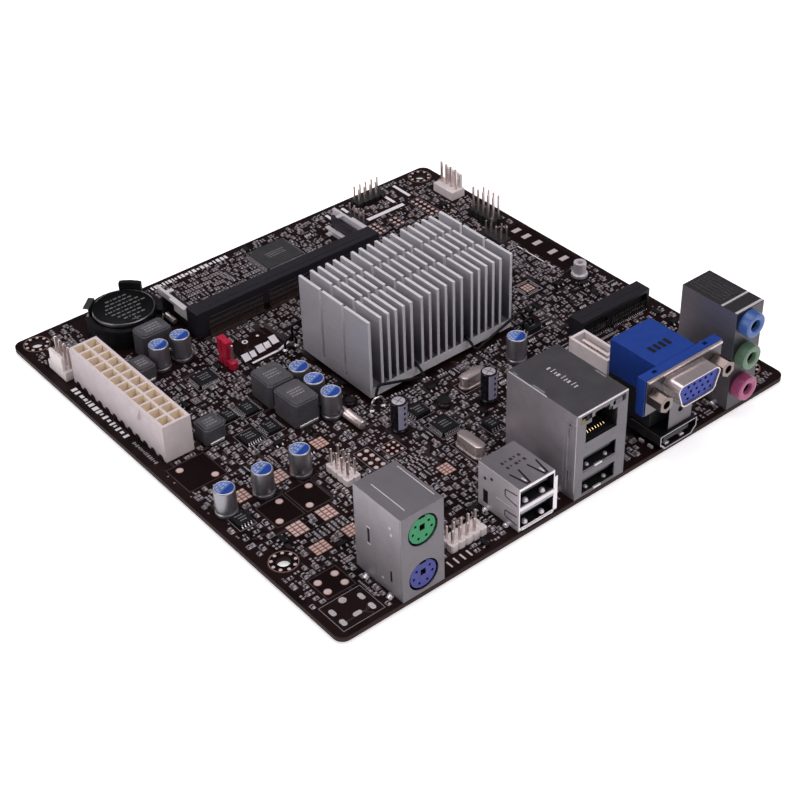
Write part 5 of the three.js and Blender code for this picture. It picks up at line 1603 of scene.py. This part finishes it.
def board_features():
    reserve_nodes()
    screw_lands()
    empty_square((3, 16), (73, 85.5), [(6.2, 83), (13, 75)])
    empty_square((13, 22.3), (44.7, 55.5), [(19.8, 53.5), (15, 46.7)])
    empty_square((23, 32), (44.7, 55.5), [(30, 53.5), (25.3, 46.7)])
    empty_square((6.5, 16), (13.8, 23), [(8.3, 20.5), (13.9, 20.5), (8.3, 16.2), (13.9, 16.2)])
    for x, y in ((4.5, 9.2), (4.5, 4.7), (13.9, 9.2), (13.9, 4.7)):
        pad_work.prism(rounded(about(x, 0.75), about(y, 1.3), 0.7), BLOB, JOINT)
        plan.take(about(x, 0.8), about(y, 1.4), 0.4)
    pad_work.prism(rounded((8.0, 10.7), (4.3, 5.7), 0.65), BLOB, JOINT)
    disc(pad_work, 9.3, 11.2, 1.1, BLOB, JOINT)
    plan.take((2.5, 16.5), (2, 13))
    print_work.frame((2.6, 16.2), (2.0, 12.8), INK, 0.14, PRINT)
    for x, y in (((14.5, 19.5), (38.5, 43.7)), ((24.5, 29.5), (38.5, 43.7)),
                 ((14.5, 19.8), (28.8, 33.2)), ((25.5, 30.0), (29.0, 33.3)),
                 ((11.0, 15.5), (60.0, 65.0)), ((23.5, 28.5), (60.0, 65.0)),
                 ((41.5, 46.0), (64.5, 69.0)), ((61.8, 66.0), (31.5, 36.0))):
        pad_array(x, y)
    for y in (91.0, 96.5, 104.0, 109.5, 114.5):
        pad_work.box((163.2, 166.6), about(y, 0.95), FILLED, WHITE)
    for i in range(4):
        pad_work.box((38.7 + i * 2.3, 39.25 + i * 2.3), (2.0, 4.5), TIN, WHITE)
    plan.take((38, 47), (1.6, 4.8))
    trace_work.box((160.2, 168.2), (86.2, 117.5), BARED, BARE)
    plan.take((159.8, 168.6), (86, 118))
    print_work.box((158.3, 158.7), (88, 107), INK, BRIGHT)
    print_work.box((148.6, 158.5), (106.7, 107.1), INK, PRINT)
    for x in (122.0, 129.0, 145.5, 152.5):   # printed frames of empty places
        print_work.box(about(x, 0.6), (157, 166.3), INK, BRIGHT)
        plan.take(about(x, 0.7), (157, 166.5), 0.2)
    print_work.box((131, 147.2), (153.2, 154.9), INK, BRIGHT)
    plan.take((130.8, 147.4), (153, 155.1), 0.2)
    pin_pads(128.9, 144.6, 2, 4, 2.0, 1.8)
    pin_pads(137.0, 144.6, 2, 3, 2.0, 2.0)
    pin_pads(150.6, 142.6, 2, 6, 2.2, 2.1)
    pin_pads(49.3, 47.2, 2, 4, 2.54, 2.54, 0.65)
    pin_pads(56.5, 49.0, 3, 3, 1.9, 1.9, 0.4)
    ic("chip_driver_1", (5, 9.5), (51.5, 55.8), 1.4, "y", 1.0)
    ic("chip_power_1", (27, 32.5), (79.5, 84.5), 1.1, "y", 0.8)
    ic("chip_power_2", (35, 39.5), (79, 84.5), 1.1, "x", 0.8)
    ic("chip_power_3", (35, 39.5), (90.5, 96.8), 1.1, "x", 0.8)
    ic("chip_power_4", (29, 32.8), (92, 96.8), 1.1, "x", 0.8)
    ic("chip_monitor", (32.4, 39.4), (111.4, 117.4), 1.2, "xy", 0.5, 0.8)
    ic("chip_clock", (73, 79), (45.3, 51.7), 1.5)
    ic("chip_memory_1", (84.6, 88.6), (37.9, 42.1), 1.5, "y", 1.0)
    ic("chip_memory_2", (72.0, 77.2), (56.4, 61.2), 1.5, "x", 1.0)
    ic("chip_input_output", (86, 100.5), (150.5, 163), 1.3, "xy", 0.5, 1.0, "chip_pale")
    ic("chip_audio", (133.0, 139.4), (31.0, 37.4), 1.2, "xy", 0.5, 0.8)
    ic("chip_network", (104.2, 110.8), (38.2, 44.8), 1.1, "xy", 0.5, 0.7)
    ic("chip_bios", (126.2, 131.2), (66.2, 71.4), 1.6, "x", 1.27)
    crystal("crystal_1", (72.3, 76.9), (29.6, 40.8), 4.5)
    crystal("crystal_2", (91.2, 101.2), (56.8, 61.3), 4.2)
    lying_can("crystal_3", 57.2, 63.0, 71.0, 1.5)
    lying_can("crystal_4", 45.2, 144.8, 150.0, 1.1)
    round_coil("round_coil_1", 82.6, 56.4, 2.1, 2.2)
    round_coil("round_coil_2", 62.0, 75.4, 1.6, 1.8)
    # A small square package was left off here: its pink heat pad shows inside a ring of pads.
    middle_x, middle_y = 143.8, 86.0
    pad_array((141.9, 145.7), (84.1, 87.9), 3, 3)
    for i in range(7):
        at = 0.62 * (i - 3)
        for side in (-1, 1):
            pad_work.box(beside(middle_x, side, 2.4, 3.1), about(middle_y + at, 0.17), TIN, TINNED)
            pad_work.box(about(middle_x + at, 0.17), beside(middle_y, side, 2.4, 3.1), TIN, TINNED)
    print_work.frame((140.2, 147.4), (82.4, 89.6), INK, 0.3, PRINT)
    plan.take((140, 147.6), (82.2, 89.8))


def board_marks():
    """Plain pale blocks and strokes, where the real board names its maker and its sockets."""
    dashes(3.0, 106.0, 32, 1.9, BRIGHT, True, 1.0, (0.6, 1.7))
    dashes(3.0, 90.0, 13, 1.1, PRINT, True, 0.4, (0.3, 0.8))
    plan.take((1.5, 4.6), (88, 139))
    for i, (wide, tall) in enumerate(((2.5, 3.9), (1.9, 3.2), (2.6, 3.9), (2.1, 3.2), (2.5, 4.3))):
        x, low = 50.4 + i * 3.0, 113.4 + i * 0.5
        print_work.prism([(x, low), (x + wide, low), (x + wide + 1.0, low + tall),
                          (x + 1.0, low + tall)], INK, BRIGHT)
    strip(print_work, [(52.0, 111.6), (62.0, 111.8), (67.2, 113.6)], 0.9, INK, BRIGHT)
    band(print_work, 56.5, 122.4, 0.55, 1.0, INK, BRIGHT, 24)
    disc(print_work, 61.5, 122.6, 0.5, INK, BRIGHT, 16)
    plan.take((50, 66.5), (110.5, 124))
    dashes(50.5, 167.4, 30, 1.9, BRIGHT, False, 0.6, (0.4, 1.2))
    plan.take((50, 82), (166.6, 168.6))
    dashes(17.0, 7.0, 7, 1.0, PRINT, True)
    dashes(54.2, 6.5, 4, 1.2)
    band(print_work, 167.0, 20.0, 0.7, 1.2, INK, BRIGHT, 24)
    dashes(131.0, 49.5, 18, 1.0)
    plan.take((130.6, 150), (48.6, 50.4))


def trace_bundle(points, count, pitch):
    """Parallel copper paths under the lacquer, all bent at the same places."""
    for i in range(count):
        shift = i * pitch
        path = [(x + shift * sx, y + shift * sy) for x, y, sx, sy in points]
        strip(trace_work, path, 0.16, COPPER, PATH)


def traces():
    trace_bundle([(48, 128.6, 0, 1), (62, 128.6, 0.4, 1), (66, 124.6, 0.4, 1), (66.8, 106, 1, 0)],
                 12, 0.34)
    trace_bundle([(120, 122, 0, 1), (126, 122, 0.4, 1), (131, 127, 0.4, 1), (131, 141, 1, 0)],
                 12, -0.34)
    trace_bundle([(124, 100, 0, 1), (134, 100, 0.4, 1), (139, 95, 0.4, 1), (139, 62, -1, 0)],
                 14, 0.4)
    trace_bundle([(100, 66, -1, 0), (100, 62, -1, 0.4), (104, 58, -0.4, 1), (112, 58, 0, 1)],
                 8, 0.4)
    trace_bundle([(44, 30, 1, 0), (44, 41, 1, -0.4), (50, 47, 0.4, -1), (58, 47, 0, -1)], 10, 0.4)
    for _ in range(620):
        x, y = seeded.uniform(3, 160), seeded.uniform(3, 160)
        run, fall = seeded.uniform(2, 9), seeded.choice((-1, 1)) * seeded.uniform(1, 4)
        path = [(x, y), (x + run, y), (x + run + abs(fall), y + fall)]
        if seeded.random() < 0.5:
            path = [(x, y), (x, y + run), (x + fall, y + run + abs(fall))]
        if all(2 < px < 168 and 2 < py < 168 for px, py in path):
            for i in range(seeded.choice((1, 2, 3, 4))):
                strip(trace_work, [(px + i * 0.34, py - i * 0.34) for px, py in path], 0.16,
                      (0, 0.018), PATH)


board_features()
board_marks()
bar_rows((57, 84), (147.5, 165.5))
bar_rows((17, 30), (19.5, 27.5), 0.95, 2.2)
bar_rows((56, 63), (38, 46), 0.8, 1.9)
bar_rows((19, 34), (33.8, 38.0), 0.8, 1.9)
populate(36000)
small_print(5200)
vias(4200)
traces()
print_work.make("board_printing", "printing", "printing_bright")
pad_work.make("board_pads", "solder_flat", "pad", "solder", "pad_white")
part_work.make("board_small_parts", "chip", "chip_cap", "chip_grey", "solder")
trace_work.make("board_traces", "trace", "trace_dark")


# -------------------------------------------------------------------- light and floor

def stage():
    floor_mesh = Solids()
    floor_mesh.box((-4000, 4200), (-4000, 4200), (-100, 0))
    mesh = floor_mesh.mesh("floor")
    mesh.transform(Matrix.Translation((0, 0, cad_bounds[0][2] - BOARD_THICKNESS * MM)))
    paint = Paint()
    shades = paint.ramp(paint.noise(4.0, 2.0), (0.3, (0.86, 0.86, 0.87)), (0.7, (0.90, 0.90, 0.91)))
    for key, value in (("Base Color", shades), ("Roughness", 0.9), ("Specular IOR Level", 0.2),
                       ("Emission Color", (1, 1, 1, 1)), ("Emission Strength", 0.55)):
        paint.feed(paint.shader.inputs[key], value)
    mesh.materials.append(paint.material)
    floor = bpy.data.objects.new("floor", mesh)
    bpy.context.scene.collection.objects.link(floor)

    world = bpy.data.worlds.new("studio")
    world.use_nodes = True
    tree = world.node_tree
    background = tree.nodes["Background"]
    direction = tree.nodes.new("ShaderNodeTexCoord")
    parts = tree.nodes.new("ShaderNodeSeparateXYZ")
    shade = tree.nodes.new("ShaderNodeValToRGB")
    low, high = shade.color_ramp.elements
    low.position, low.color = 0.0, (0.62, 0.60, 0.64, 1)
    high.position, high.color = 0.45, (0.11, 0.105, 0.115, 1)
    tree.links.new(direction.outputs["Generated"], parts.inputs[0])
    tree.links.new(parts.outputs["Z"], shade.inputs["Fac"])
    tree.links.new(shade.outputs["Color"], background.inputs["Color"])
    background.inputs["Strength"].default_value = 1.0
    bpy.context.scene.world = world

    for name, at, size, power in (("key_light", (0.35, -0.75, 1.0), (1.0, 0.8), 6.5),
                                  ("top_light", (-0.1, 0.25, 1.3), (1.0, 1.0), 8),
                                  ("left_fill", (-1.1, 0.1, 0.6), (0.8, 0.8), 4.6)):
        light = bpy.data.lights.new(name, "AREA")
        light.shape, light.size, light.size_y = "RECTANGLE", size[0], size[1]
        light.energy, light.color = power, (1.0, 0.955, 0.985)
        lamp = bpy.data.objects.new(name, light)
        lamp.location = at
        lamp.rotation_euler = (-Vector(at)).to_track_quat("-Z", "Y").to_euler()
        bpy.context.scene.collection.objects.link(lamp)
    bpy.context.scene.view_settings.view_transform = "Standard"


stage()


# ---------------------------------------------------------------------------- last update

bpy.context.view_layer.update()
